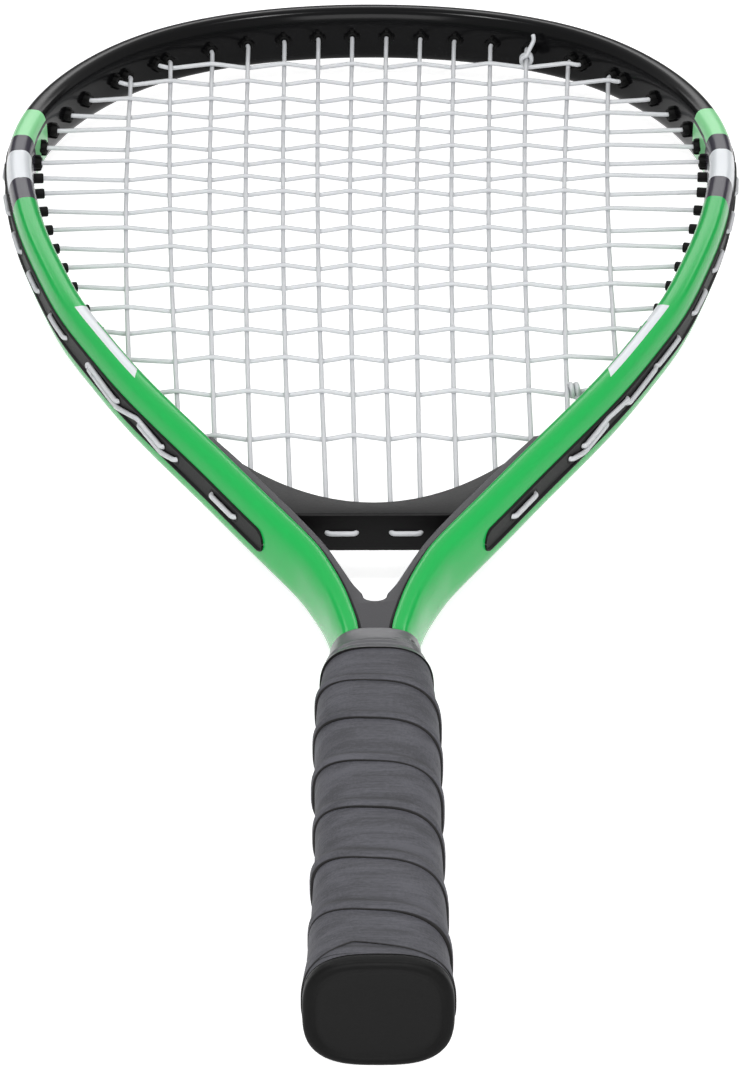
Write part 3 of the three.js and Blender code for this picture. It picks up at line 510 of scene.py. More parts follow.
def lacquered_aluminium(colours):
    """Drawn aluminium tube under sprayed lacquer, which gives deep colour and a sharp, even gloss.
    The paint follows the length of the tube, measured from its nearer end, and the place across it."""
    material, tree, surface = new_material(
        "lacquered drawn aluminium", colours.green, Roughness=0.17, IOR=1.19)
    arc, out, up = (own_attribute(tree, key) for key in ("arc", "out", "up"))
    painted = colours.green
    steps = (colours.band_grey, colours.band_white, colours.band_grey,
             colours.light_green, colours.head_black)
    for height, rgb in zip(BAND_ENDS_Y, steps):
        painted = blend(tree, maths(tree, "GREATER_THAN", arc, HOOP.at_height(height)), painted, rgb)
    on_face = maths(tree, "GREATER_THAN", maths(tree, "ABSOLUTE", up), TUBE_DEEP * FACE_SHARE)
    slanted = maths(tree, "MULTIPLY_ADD", out, BAR_SLANT, arc)
    below_top = maths(tree, "LESS_THAN", arc, BAR_HIGH)
    stroke = maths(tree, "MULTIPLY", maths(tree, "GREATER_THAN", slanted, BAR_LOW),
                   band(tree, out, BAR_INNER, BAR_OUTER))
    hook = maths(tree, "MULTIPLY", maths(tree, "GREATER_THAN", arc, HOOK_LOW),
                 band(tree, out, HOOK_INNER, BAR_INNER))
    bar = maths(tree, "MULTIPLY", maths(tree, "MAXIMUM", stroke, hook), below_top)
    line = maths(tree, "MULTIPLY", band(tree, out, LINE_INNER, LINE_OUTER),
                 band(tree, arc, LINE_LOW, HOOK_LOW))
    # Painted shade: a thin dark line along the tube's rounded inner front edge over the head
    in_front = maths(tree, "GREATER_THAN", up, 0.0)
    edge_shade = maths(tree, "MULTIPLY", maths(tree, "GREATER_THAN", arc, HOOP.at_height(EDGE_SHADE_LOW_Y)),
                 maths(tree, "MULTIPLY", band(tree, out, EDGE_SHADE_INNER, EDGE_SHADE_OUTER), in_front))
    for mask, rgb in ((line, colours.bar_line), (bar, colours.band_white), (edge_shade, colours.head_black)):
        painted = blend(tree, maths(tree, "MULTIPLY", mask, on_face), painted, rgb)
    # Painted shadow of the gap where the yoke meets the tube, along the tube's inner side
    beside_yoke = maths(tree, "MULTIPLY", maths(tree, "LESS_THAN", out, 0.0),
                        maths(tree, "LESS_THAN", arc, HOOP.at_height(YOKE_END_Y)))
    gap_shade = maths(tree, "MULTIPLY", beside_yoke, band(tree, maths(tree, "ABSOLUTE", up), *YOKE_GAP_SHADE))
    painted = blend(tree, gap_shade, painted, colours.barrel_shade_black)
    tree.links.new(painted, surface.inputs["Base Color"])
    return material


def moulded_nylon(name, rgb, roughness, ior):
    """Injection-moulded nylon: satin, with the faint texture of the tool's spark-eroded wall."""
    material, tree, surface = new_material(name, rgb, Roughness=roughness, IOR=ior)
    add_grain(tree, surface, rgb, grain_mm=0.6, height_mm=0.02, shade=0.06,
              roughness=(roughness - 0.07, roughness + 0.07))
    return material


def nylon_string(colours):
    """Extruded nylon filament with a smooth coating: milky, slightly see-through, soft gloss."""
    material, tree, surface = new_material(
        "extruded nylon string", colours.string_white, Roughness=0.38, IOR=1.4,
        Subsurface_Weight=0.15, Subsurface_Radius=(0.6, 0.6, 0.6), Subsurface_Scale=MM)
    add_grain(tree, surface, colours.string_white, grain_mm=0.9, height_mm=0.01, shade=0.03)
    return material


# Grain of the grip by length along and across the strip: drawn nap, pores and slow stains
GRIP_GRAINS = ((5.0, 0.6), (0.8, 0.8), (16.0, 5.0))
GRIP_BUMP = 0.3
# How strongly the grain shades the grip, and its darkest and palest shade of the grip's grey
MOTTLE_GAIN, MOTTLE_SHIFT = 3.0, -2.5
MOTTLE_DARK, MOTTLE_PALE = 0.68, 1.28


def grip_strip(colours):
    """Napped polyurethane on a felt backing: matt, finely grained along the strip, with a dark raw
    edge that also carries painted shadow under each turn, and painted shade in the fold above each
    ridge. Grain 0.6 mm across and 5 mm along, coarser than the real 0.2 mm so that it shows, and slow
    stains of 5 by 16 mm."""
    material, tree, surface = new_material(
        "grained polyurethane grip", colours.grip_grey, Roughness=0.7, IOR=1.38)
    along = add_node(tree, "ShaderNodeUVMap", uv_map="strip").outputs["UV"]
    grains = []
    for long_mm, wide_mm in GRIP_GRAINS:
        scaled = add_node(tree, "ShaderNodeMapping", {
            "Vector": along, "Scale": (1 / long_mm, 1 / wide_mm, 1.0)})
        noise = add_node(tree, "ShaderNodeTexNoise", {
            "Vector": scaled.outputs["Vector"], "Scale": 1.0, "Detail": 3.0})
        grains.append(noise.outputs["Fac"])
    fine = maths(tree, "MULTIPLY", maths(tree, "ADD", grains[0], grains[1]), 0.5)
    bump = add_node(tree, "ShaderNodeBump", {
        "Height": fine, "Distance": GRIP_BUMP * MM, "Strength": 1.0})
    tree.links.new(bump.outputs["Normal"], surface.inputs["Normal"])
    mottled = maths(tree, "MULTIPLY_ADD", maths(tree, "ADD", fine, grains[2]), MOTTLE_GAIN, MOTTLE_SHIFT)
    dark, pale = ([v * shade for v in colours.grip_grey] for shade in (MOTTLE_DARK, MOTTLE_PALE))
    tree.links.new(blend(tree, mottled, dark, pale), surface.inputs["Base Color"])
    # The edge attribute paints the strip's edge face dark, with painted shadow under each turn and painted
    # shade in the fold above each ridge
    paint_over(tree, surface, "edge", colours.grip_edge)
    return material


def stretched_tape(colours):
    """Stretched PVC tape: glossy, with shallow ripples where it was pulled round the neck."""
    material, tree, surface = new_material("stretched PVC tape", colours.tape_grey, Roughness=0.33, IOR=1.52)
    add_grain(tree, surface, colours.tape_grey, grain_mm=4.0, height_mm=0.12, shade=0.05,
              stretch=(0.5, 2.0, 1.0))
    # The edge attribute paints shadow along the tape's lower edge and shade in the gaps under its loose edge
    paint_over(tree, surface, "edge", colours.grip_edge)
    return material


def cap_rubber(colours):
    """Moulded thermoplastic rubber with a dull skin that scuffs a little paler."""
    material, tree, surface = new_material(
        "moulded thermoplastic rubber", colours.cap_black, Roughness=0.5, IOR=1.2)
    add_grain(tree, surface, colours.cap_black, grain_mm=0.5, height_mm=0.03, shade=0.12,
              roughness=(0.42, 0.58))
    paint_over(tree, surface, "face", colours.cap_face)
    return material


def hidden_materials():
    """Materials of the solids inside the handle, by CAD node: hard foam, matt with open pores, and
    bright drawn wire."""
    foam_tan, steel_grey = linear("#C9B98F"), linear("#B8BABD")
    foam, tree, surface = new_material("moulded polyurethane foam", foam_tan, Roughness=0.8, IOR=1.45)
    add_grain(tree, surface, foam_tan, grain_mm=0.8, height_mm=0.05, shade=0.1)
    steel, tree, surface = new_material("drawn steel wire", steel_grey, Roughness=0.3, Metallic=1.0)
    add_grain(tree, surface, steel_grey, grain_mm=0.3, height_mm=0.01, shade=0.08)
    return {"front_handle_half": foam, "back_handle_half": foam,
            "front_cap_staple": steel, "back_cap_staple": steel}


# Hoop


def hoop_rings(arcs, turn, grow=0.0):
    """A superellipse profile carried along the hoop: point = line(arc) + out·normal + up·z."""
    squareness = np.interp(HOOP.at(arcs)[:, 1], *TUBE_SQUARENESS.T)
    out, up = superellipse(TUBE_HALF + grow, TUBE_DEEP + grow, squareness[:, None], turn[None])
    return HOOP.at(arcs[:, None], out, up), out, up


def hoop_tube(count=1001, sides=56):
    """The bent tube: the profile goes down one stem's bore, over the outside and up the other bore."""
    turn = around(sides)
    bore = np.array([BORE_DEPTH, 0.0])
    outside = np.linspace(0, HOOP.total, count)
    spans = (bore, -TUBE_WALL), (outside, 0.0), (HOOP.total - bore[::-1], -TUBE_WALL)
    walls = [hoop_rings(span, turn, grow) for span, grow in spans]
    rings, out, up = (np.concatenate(parts) for parts in zip(*walls))
    arcs = np.concatenate([span for span, _ in spans])
    attributes = {"arc": np.repeat(np.minimum(arcs, HOOP.total - arcs), len(turn)), "out": out, "up": up}
    return skin_mesh("hoop_tube", rings, attributes, crease=60)


# Strips, bumper and barrels


def strip_arcs(start, end, run, count):
    """Lengths along a strip, closer together within run of each end."""
    turn = np.linspace(0, math.pi / 2, 9)
    lead = run * (1 - np.cos(turn))
    return np.r_[start + lead, np.linspace(start + run, end - run, count)[1:-1], (end - lead)[::-1]]


def yoke_bowl(x):
    """Height of the yoke's string side: a parabola that runs out on the arms."""
    end = HOOP.at(HOOP.at_height(YOKE_END_Y, -TUBE_HALF), -TUBE_HALF)
    return BRIDGE_FRONT_Y + (YOKE_END_Y - BRIDGE_FRONT_Y) * (x / end[0]) ** 2


def barrel_reaches():
    """How far in from the centre line a barrel reaches at each length of the hoop's table."""
    near = np.minimum(HOOP.arc, HOOP.total - HOOP.arc)
    bumper = HOOP.at_height(BUMPER_LOW_Y)
    reach = TUBE_HALF + np.where(near > bumper, HEAD_BARREL_STAND, BARREL_STAND)
    low = near < HOOP.at_height(YOKE_END_Y, -TUBE_HALF)
    tries = np.linspace(TUBE_HALF, BOWL_REACH, 300)
    spots = HOOP.middle[:, None, :] - HOOP.outward[:, None, :] * tries[None, :, None]
    above = spots[..., 1] >= yoke_bowl(spots[..., 0])
    through = tries[np.argmax(above, axis=1)] + STRIP_SEAT
    buried = low & (through > reach - BARREL_STAND + STRIP_SEAT + BOWL_COVER)
    return np.where(buried, through, reach)


REACHES = barrel_reaches()
MOUTHS = HOOP.middle - HOOP.outward * REACHES[:, None]


def string_holes():
    """Every string hole by name, as a length along the hoop: the right half's, then their mirrors."""
    half = {}
    for index, (tip, throat) in enumerate(zip(MAIN_TIP_SHARES, MAIN_THROAT_SHARES)):
        half[f"main_tip_{index}"] = HOOP.arc_where(MOUTHS[:, 0], tip * HOOP_HALF, HOOP.widest, HOOP.tip)
        if index >= BRIDGE_MAINS:
            half[f"main_throat_{index}"] = HOOP.arc_where(
                MOUTHS[:, 0], throat * HOOP_HALF, HOOP.neck, HOOP.widest)
    for row, share in enumerate(ROW_SHARES):
        height = FIRST_ROW_Y + (LAST_ROW_Y - FIRST_ROW_Y) * share
        half[f"row_{row}"] = HOOP.arc_where(MOUTHS[:, 1], height, HOOP.neck, HOOP.tip)
    holes = {f"right_{key}": arc for key, arc in half.items()}
    holes.update({f"left_{key}": mirrored(arc) for key, arc in half.items()})
    return holes


HOLES = string_holes()
# Holes that two strings pass, so that their barrels are wider
SHARED = (f"right_main_tip_{END_MAIN}", f"right_row_{START_ROW}")


def mouth(name, past=0.0, up=0.0):
    """The middle of a barrel's inner end, or a point a little past it."""
    arc = HOLES[name]
    reach = np.interp(arc, HOOP.arc, REACHES)
    return HOOP.at(arc, -reach - past, up)


def barrel(name):
    """A hollow barrel: a profile of radius and place along the hole, turned about the hole's axis."""
    near = min(HOLES[name], mirrored(HOLES[name]))
    radius = HEAD_BARREL_RADIUS if near > HOOP.at_height(BUMPER_LOW_Y) else BARREL_RADIUS
    bore = BARREL_BORE
    if name in SHARED:
        radius, bore = SHARED_BARREL_RADIUS, SHARED_BARREL_BORE
    inner = mouth(name)
    outer = HOOP.at(HOLES[name], STRIP_FACE - STRIP_TROUGH + BARREL_RISE)
    along = outer - inner
    reach = np.linalg.norm(along)
    along /= reach
    side = np.array([-along[1], along[0], 0])
    # Radius and place along the hole: the outside, its rounded lip, the bore and its two chamfers
    profile = np.array([
        (radius, reach - 0.6), (radius, 0.5), (radius - 0.08, 0.16), (radius - 0.25, 0.0),
        (bore + 0.12, 0.04), (bore, 0.25), (bore, reach - 0.3), (bore + 0.2, reach), (radius - 0.2, reach)])
    turn = around(20)
    spoke = np.cos(turn)[:, None] * side + np.sin(turn)[:, None] * np.array([0, 0, 1.0])
    return inner + profile[:, None, 1, None] * along + profile[:, None, 0, None] * spoke[None]


def ribs(name):
    """Four stout fins round a head barrel where it leaves the tube, like a plus sign."""
    inner = HOOP.at(HOLES[name], -TUBE_HALF + RIB_SINK)
    tip = mouth(name, -RIB_SHORT)
    bend = tip * RIB_STRAIGHT_SHARE + inner * (1 - RIB_STRAIGHT_SHARE)
    outward = HOOP.at(HOLES[name], 1.0) - HOOP.at(HOLES[name], 0.0)
    side = np.array([-outward[1], outward[0], 0])
    corners = np.array([(-1, -1), (1, -1), (1, 1), (-1, 1)]) * [RIB_HALF_WIDE, RIB_HALF_THICK]
    fins = []
    for across in (side, np.array([0, 0, 1.0])):
        flat = np.cross(across, outward)
        fins.append(np.stack([
            base + corners[:, :1] * keep * across + corners[:, 1:] * keep * flat
            for base, keep in ((inner, 1.0), (bend, 1.0), (tip, RIB_TIP_SHARE))]))
    return fins


def strips_and_barrels():
    """The bumper and both strips, each with the barrels moulded on it."""
    low = HOOP.at_height(STRIP_LOW_Y, TUBE_HALF)
    bumper = HOOP.at_height(BUMPER_LOW_Y)
    spans = {
        "head_bumper": (bumper, mirrored(bumper)),
        "right_grommet_strip": (low, bumper - STRIP_SEAT),
        "left_grommet_strip": (mirrored(bumper - STRIP_SEAT), mirrored(low)),
    }
    made = {}
    for node, (start, end) in spans.items():
        own = [name for name, arc in HOLES.items() if start < arc < end]
        arcs = strip_arcs(start, end, STRIP_TALL / 2, 220)
        fins = [fin for name in own for fin in ribs(name)] if node == "head_bumper" else []
        made[node] = ([strip_profile(arcs, start, end)], fins, [barrel(name) for name in own])
    return made


def strip_profile(arcs, start, end):
    """A thin profile with a trough for the string, carried outside the tube; its height falls as a
    half circle at each end: h = H·sqrt(1 - (1 - d/H)^2) within H of the end."""
    half = STRIP_TALL / 2
    short = np.clip(1 - np.minimum(arcs - start, end - arcs) / half, 0, 1)
    height = half * np.sqrt(np.clip(1 - short ** 2, 0.004, 1))
    face = STRIP_FACE
    # Way out and share of the half height, from the trough over the rounded lip to the underside
    upper = np.array([
        (face - STRIP_TROUGH, 0.7), (face - 0.2, 0.77), (face, 0.84), (face, 0.9), (face - 0.15, 0.96),
        (face - 0.5, 1.0), (TUBE_HALF - STRIP_SINK, 1.0)])
    profile = np.concatenate([upper[::-1] * [1, -1], upper])
    return HOOP.at(arcs[:, None], profile[None, :, 0], profile[None, :, 1] * height[:, None])


# Yoke


def arm_points(low_y, high_y, out, count):
    """x and y of places up the right arm at one distance from its centre line."""
    arcs = np.linspace(HOOP.at_height(low_y, out), HOOP.at_height(high_y, out), count)
    return HOOP.at(arcs, out)[:, :2]


def leg_points(count):
    """x and y of places up the inner face of the right leg."""
    arc = np.linspace(HOOP.neck, HOOP.widest, 2001)
    heights = np.clip(HOOP.at(arc)[:, 1], LEG_FACE[0, 0], LEG_FACE[-1, 0])
    face = HOOP.at(arc, -natural_spline(LEG_FACE[:, 0], LEG_FACE[:, 1:], heights)[:, 0])[:, :2]
    shown = face[(face[:, 1] > CROTCH_Y + CROTCH_RADIUS) & (face[:, 1] < YOKE_END_Y)]
    return shown[np.linspace(0, len(shown) - 1, count).astype(int)]


def both_sides(right):
    """A closed outline from its right half, which runs from the bottom round to the middle."""
    return np.concatenate([right, right[::-1] * [-1, 1]])


def plate(outline, half_deep, edge):
    """An outline as a plate with rounded edges: at angle t the ring is drawn in by edge·(1 - cos t)
    and stands at half_deep - edge·(1 - sin t), above and below."""
    ahead = np.roll(outline, -1, 0) - np.roll(outline, 1, 0)
    ahead /= np.hypot(*ahead.T)[:, None]
    inward = np.c_[-ahead[:, 1], ahead[:, 0]]
    turned = np.einsum("i,i->", outline[:, 0], np.roll(outline[:, 1], -1) - np.roll(outline[:, 1], 1))
    inward *= np.sign(turned)
    turn = np.linspace(math.pi / 2, 0, 6)
    draw = edge * (1 - np.cos(turn))
    height = half_deep - edge * (1 - np.sin(turn))
    draw, height = np.r_[draw, draw[::-1]], np.r_[height, -height[::-1]]
    flat = outline[None] + inward[None] * draw[:, None, None]
    return np.concatenate([flat, np.broadcast_to(height[:, None, None], flat.shape[:2] + (1,))], -1)


# The yoke's sides lie half way in to the tube's own side
BURIED = -TUBE_HALF / 2


def yoke_fork(edge):
    """The fork plate, from the wedge between the stems up both arms, its back sides in the tube."""
    outer = arm_points(WEDGE_END_Y, YOKE_END_Y, BURIED, 90)
    inner = leg_points(70)[::-1]
    turn = np.linspace(0, math.pi / 2, 12)[1:-1]
    crotch = np.c_[inner[-1, 0] * np.cos(turn), CROTCH_Y + CROTCH_RADIUS * (1 - np.sin(turn))]
    return plate(both_sides(np.concatenate([outer, inner, crotch])), YOKE_HALF_DEEP, edge)


def yoke_bridge(edge):
    """The bridge as rounded rectangles side by side: each spans from the flat back, or the inside of
    the tube, up to the bowl y = y0 + (y1 - y0)·(x/x1)^2."""
    reach = HOOP.at(HOOP.at_height(YOKE_END_Y, -TUBE_HALF), -TUBE_HALF)[0]
    x = reach * np.sin(np.linspace(-math.pi / 2, math.pi / 2, 161))
    side = HOOP.beside(BURIED)[HOOP.arc < HOOP.widest]
    low = np.maximum(np.interp(np.abs(x), side[:, 0], side[:, 1]), BRIDGE_BACK_Y)
    half = (yoke_bowl(x) - low) / 2
    turn = np.concatenate([np.linspace(0, math.pi / 2, 6) + corner * math.pi / 2 for corner in range(4)])
    corner_y, corner_z = np.repeat([1, -1, -1, 1], 6), np.repeat([1, 1, -1, -1], 6)
    radius = np.minimum(edge, half * 0.8)[:, None]
    y = (low + half)[:, None] + corner_y * (half[:, None] - radius) + radius * np.cos(turn)
    z = corner_z * (BRIDGE_HALF_DEEP - radius) + radius * np.sin(turn)
    return np.stack([np.broadcast_to(x[:, None], y.shape), y, z], -1)


# Stringing


def lengths(vectors):
    """Lengths of the vectors' first three numbers, kept as a column."""
    return np.linalg.norm(vectors[:, :3], axis=1, keepdims=True)


def rounded(route, reach=1.5, steps=5, least=0.05, most_share=0.48):
    """A polyline with each corner replaced by a quadratic arc that starts and ends reach from it,
    or less than half way to the next corner. Each row is a point and its upward direction, and one
    that lies nearer than least to the last is dropped."""
    route = route[np.r_[True, lengths(np.diff(route, axis=0))[:, 0] > least]]
    corner = route[1:-1]
    back, ahead = route[:-2] - corner, route[2:] - corner
    start = corner + back * np.minimum(reach / lengths(back), most_share)
    end = corner + ahead * np.minimum(reach / lengths(ahead), most_share)
    share = np.linspace(0, 1, steps)[None, :, None]
    start, corner, end = start[:, None], corner[:, None], end[:, None]
    arcs = (1 - share) ** 2 * start + 2 * share * (1 - share) * corner + share ** 2 * end
    return np.concatenate([route[:1], arcs.reshape(-1, 6), route[-1:]])


def string_skin(route, radius, sides=12, end_share=0.7, end_rise_share=0.35):
    """A round profile carried along a route: ring = point + r·(cos t·side + sin t·over), where side
    is square to the route and its upward direction, and over is square to both. Each end has one
    smaller ring, a little further on."""
    points, up = route[:, :3], route[:, 3:]
    along = np.gradient(points, axis=0)
    along /= lengths(along)
    side = np.cross(along, up)
    side /= lengths(side)
    over = np.cross(along, side)
    turn = around(sides)[None, :, None]
    ring = np.cos(turn) * side[:, None] + np.sin(turn) * over[:, None]
    rings = points[:, None] + ring * radius
    ends = [points[i] + ring[i] * radius * end_share + along[i] * step * radius * end_rise_share
            for i, step in ((0, -1), (-1, 1))]
    return np.concatenate([ends[0][None], rings, ends[1][None]])


def upright(points):
    """Points with the string bed's normal as their upward direction."""
    points = np.asarray(points, float)
    return np.c_[points, np.tile([0, 0, 1.0], (len(points), 1))]


class Stringing:
    """Routes of the main and cross strings, as points in millimetres."""

    def __init__(self, thick):
        self.radius = thick / 2
        self.weave = (thick + WEAVE_GAP) / 2
        self.outside = STRIP_FACE - STRIP_TROUGH + self.radius
        self.step_aside = thick + STRING_GAP
        self.mains = [(1, i) for i in range(len(MAIN_TIP_SHARES) - 1, -1, -1)]
        self.mains += [(-1, i) for i in range(len(MAIN_TIP_SHARES))]
        self.tips = [mouth(self.tip_name(m), MOUTH_PAST, self.tip_side(m)) for m in self.mains]
        self.throats = [self.throat_place(m) for m in self.mains]
        self.row_ends = [mouth(f"right_row_{row}", MOUTH_PAST) for row in range(len(ROW_SHARES))]

    @staticmethod
    def side_name(sign):
        return "right" if sign > 0 else "left"

    def tip_name(self, main):
        return f"{self.side_name(main[0])}_main_tip_{main[1]}"

    def throat_name(self, main):
        return f"{self.side_name(main[0])}_main_throat_{main[1]}"

    def tip_side(self, main):
        """How far to the front a main string leaves its hole: behind the end knot in the shared one."""
        return -self.weave if self.tip_name(main) == SHARED[0] else 0.0

    def throat_place(self, main):
        """Lower end of a main string, at its barrel's mouth or on the yoke's bowl."""
        sign, index = main
        if index >= BRIDGE_MAINS:
            return mouth(self.throat_name(main), MOUTH_PAST)
        x = sign * MAIN_THROAT_SHARES[index] * HOOP_HALF
        return np.array([x, yoke_bowl(x) + MOUTH_PAST, 0.0])

    def weave_side(self, order, row):
        """How far to the front a main string passes a row, over and under by turns."""
        return -self.weave if (order + row) % 2 else self.weave

    def crossing(self, order, row):
        """x at which a main string, bowed by b·sin(pi·share), meets a row, or None where the row
        doesn't reach it."""
        throat, tip = self.throats[order], self.tips[order]
        end_x, y, _ = self.row_ends[row]
        share = (y - throat[1]) / (tip[1] - throat[1])
        bow = MAIN_BOW * math.sin(math.pi * min(max(share, 0), 1))
        x = throat[0] + (tip[0] - throat[0]) * share + bow
        return x if 0 < share < 1 and abs(x) < end_x - self.radius else None

    def main_run(self, order):
        """One main string from throat to tip, over and under the rows and straight under the knot."""
        run = [self.throats[order]]
        for row in range(len(ROW_SHARES) - 1, -1, -1):
            x = self.crossing(order, row)
            if x is not None:
                run.append((x, self.row_ends[row][1], self.weave_side(order, row)))
        tip = self.tips[order]
        if self.tip_side(self.mains[order]):
            way = (self.throats[order] - tip) * [1, 1, 0]
            run.append(tip + way * KNOT_REACH / np.linalg.norm(way))
        return run + [tip]

    def row_run(self, row):
        """One row from left to right, over and under the main strings and straight under the knot."""
        end_x, y, _ = self.row_ends[row]
        run = [(-end_x, y, 0.0)]
        for order in range(len(self.mains) - 1, -1, -1):
            x = self.crossing(order, row)
            if x is not None:
                run.append((x, y, -self.weave_side(order, row)))
        if row != START_ROW:
            return run + [(end_x, y, 0.0)]
        if run[-1][0] < end_x - KNOT_REACH - KNOT_LEAD:
            run.append((end_x - KNOT_REACH, y, self.weave))
        return run + [(end_x, y, self.weave)]

    def between(self, start, end, sign):
        """Holes passed on the way, each with the side on which the string passes it."""
        passed = sorted((arc for arc in HOLES.values() if (arc - start) * (arc - end) < 0),
                        key=lambda arc: abs(arc - start))
        return [(arc, sign * self.step_aside) for arc in passed]

    def outer_run(self, start, end, passes=(), start_side=0.0, end_side=0.0):
        """The string on the outside of the strip between two holes."""
        known = np.array([(start, start_side), *passes, (end, end_side)])
        way = np.sign(end - start)
        count = max(2, int(abs(end - start) / OUTER_STEP))
        arcs = np.unique(np.r_[known[:, 0], np.linspace(start, end, count)])
        kept = [arc for arc in arcs if arc in known[:, 0] or np.abs(known[:, 0] - arc).min() > OUTER_LEAST]
        arcs = np.array(kept)[::int(way)]
        sides = np.interp(arcs * way, known[:, 0] * way, known[:, 1])
        return list(HOOP.at(arcs, self.outside, sides))

    def tip_link(self, main, after):
        """The string over the head from one main string to the next."""
        start, end = HOLES[self.tip_name(main)], HOLES[self.tip_name(after)]
        passes = self.between(start, end, -1)
        return self.outer_run(start, end, passes, self.tip_side(main), self.tip_side(after))

    def throat_link(self, main, after):
        """The string from one main string to the next behind the bridge or along the arm."""
        if main[1] < BRIDGE_MAINS:
            y = BRIDGE_BACK_Y - self.radius + 0.1
            return [np.array([self.throats[self.mains.index(m)][0], y, 0.0]) for m in (main, after)]
        start, end = HOLES[self.throat_name(main)], HOLES[self.throat_name(after)]
        return self.outer_run(start, end, self.between(start, end, -1))

    def knot(self, start, away, across, side, rise):
        """In through the shared barrel, two turns round the neighbouring string, and a free tail.
        The turns are axis + away·pitch·t + r·(sin t·across + cos t·up)."""
        turn = np.linspace(0, 4 * math.pi, 33)[:, None]
        axis = np.array([start[0], start[1], -side])
        radius = 2 * self.radius + KNOT_GAP
        up = np.array([0, 0, np.sign(side)])
        spoke = np.sin(turn) * across + np.cos(turn) * up
        turns = axis + away * (KNOT_START + KNOT_PITCH * turn / (2 * math.pi)) + radius * spoke
        tail = turns[-1] + KNOT_TAIL @ [across, -away, up * rise]
        return np.concatenate([upright([start]), np.c_[turns, spoke * np.sign(side)], upright(tail)])

    def end_knot(self):
        """The crosses tied off on a main string inside the tip."""
        order = self.mains.index((1, END_MAIN))
        flat = np.array([1, 1, 0])
        away = (self.throats[order] - self.tips[order]) * flat
        away /= np.linalg.norm(away)
        start = self.tips[order] * flat + [0, 0, self.weave]
        return self.knot(start, away, np.array([-away[1], away[0], 0]), self.weave, END_TAIL_RISE)

    def start_knot(self):
        """The string's first knot, on the lowest row but one, beside the right arm."""
        end_x, y, _ = self.row_ends[START_ROW]
        start, away, across = np.array([(end_x, y, -self.weave), (-1.0, 0, 0), (0, -1.0, 0)])
        return self.knot(start, away, across, -self.weave, 0.0)

    def splice(self):
        """The string's way from the last main string's hole to the first row's: start, end, the holes
        passed, and its side where one string node hands over to the other."""
        start = HOLES[self.throat_name(self.mains[-1])]
        end = HOLES[f"left_row_{len(ROW_SHARES) - 1}"]
        passes = self.between(start, end, 1)
        passes[0] = (passes[0][0], -self.step_aside)
        return start, end, passes, passes[0][1] * SPLICE_PAST / (passes[0][0] - start)

    def main_route(self):
        """The first knot, then the mains from right to left, up and down by turns."""
        route = self.outer_run(HOLES[SHARED[1]], HOLES[self.throat_name(self.mains[0])], (), -self.weave)
        for order, main in enumerate(self.mains):
            rising = order % 2 == 0
            run = self.main_run(order)
            route += run if rising else run[::-1]
            if order + 1 < len(self.mains):
                link = self.tip_link if rising else self.throat_link
                route += link(main, self.mains[order + 1])
        start, _, _, side = self.splice()
        ends = np.array([start, start + SPLICE_PAST])
        route += list(HOOP.at(ends, self.outside, np.array([0.0, side])))
        return np.concatenate([self.start_knot()[::-1], upright(route)])

    def cross_route(self):
        """The rows from the throat to the tip, rightward and leftward by turns, then the end knot."""
        start, end, passes, side = self.splice()
        route = self.outer_run(start + SPLICE_PAST, end, passes, side)
        last = len(ROW_SHARES) - 1
        for row in range(last, -1, -1):
            rightward = (last - row) % 2 == 0
            run = self.row_run(row)
            route += run if rightward else run[::-1]
            name = "right" if rightward else "left"
            here = HOLES[f"{name}_row_{row}"]
            there = HOLES[f"{name}_row_{row - 1}"] if row else HOLES[SHARED[0]]
            here_side = self.weave if rightward and row == START_ROW else 0.0
            there_side = self.weave if not row or (rightward and row - 1 == START_ROW) else 0.0
            route += self.outer_run(here, there, self.between(here, there, 1), here_side, there_side)
        return np.concatenate([upright(route), self.end_knot()])


# Handle


def core_halves(y):
    """Half width and half depth of the handle core at heights y, smooth through its table."""
    share = np.clip((np.ravel(y) - CORE_START_Y) / (CORE_END_Y - CORE_START_Y), 0, 1)
    halves = natural_spline(CORE_SHARES[:, 0], CORE_SHARES[:, 1:], share) * (CAP_HALF_WIDE, CAP_HALF_DEEP)
    return halves[:, 0].reshape(np.shape(y)), halves[:, 1].reshape(np.shape(y))


def over_core(turn, y, off):
    """A point over the core at an angle round the handle, a height and a distance off it, which
    grows to the flare toward the butt: flare·((y1 - y)/(y1 - y0))^2."""
    wide, deep = core_halves(y)
    flare = np.clip((FLARE_END_Y - y) / (FLARE_END_Y - CORE_START_Y), 0, 1) ** 2
    wide, deep = wide + off + FLARE_WIDE * flare, deep + off + FLARE_DEEP * flare
    x, z = superellipse(wide, deep, CORE_SQUARENESS, turn)
    return np.stack([x, y, z], -1)


def grip_edge(turns):
    """Height of the strip's lower edge after that many turns, counted at the front."""
    last = len(WRAP_EDGES_Y) - 1
    knots = np.arange(last + 1.0)
    inside = np.clip(turns, 0, last)
    return natural_spline(knots, np.array(WRAP_EDGES_Y)[:, None], inside)[:, 0]


# Share of the way across a turn, rise over its face in ridges, and how dark it is painted there: the
# raw edge, dark in itself and with painted shadow under it, then painted shade in the fold above the ridge
STRIP_PROFILE = np.array((
    (0.0, -1.2, 1), (0.0, 0.0, 1), (0.0, 0.54, 1), (0.004, 0.66, 0.8), (0.012, 0.76, 0.05),
    (0.03, 0.85, 0), (0.06, 0.95, 0), (0.09, 1.0, 0), (0.115, 0.99, 0.06), (0.135, 0.9, 0.25),
    (0.155, 0.7, 0.48), (0.175, 0.42, 0.58), (0.195, 0.17, 0.52), (0.215, 0.02, 0.34),
    (0.24, -0.06, 0.16), (0.29, -0.05, 0.05), (0.38, 0, 0), (0.65, 0, 0), (0.85, 0, 0), (1.0, 0, 0),
    (1.03, -0.05, 0), (1.03, -1.2, 0)))
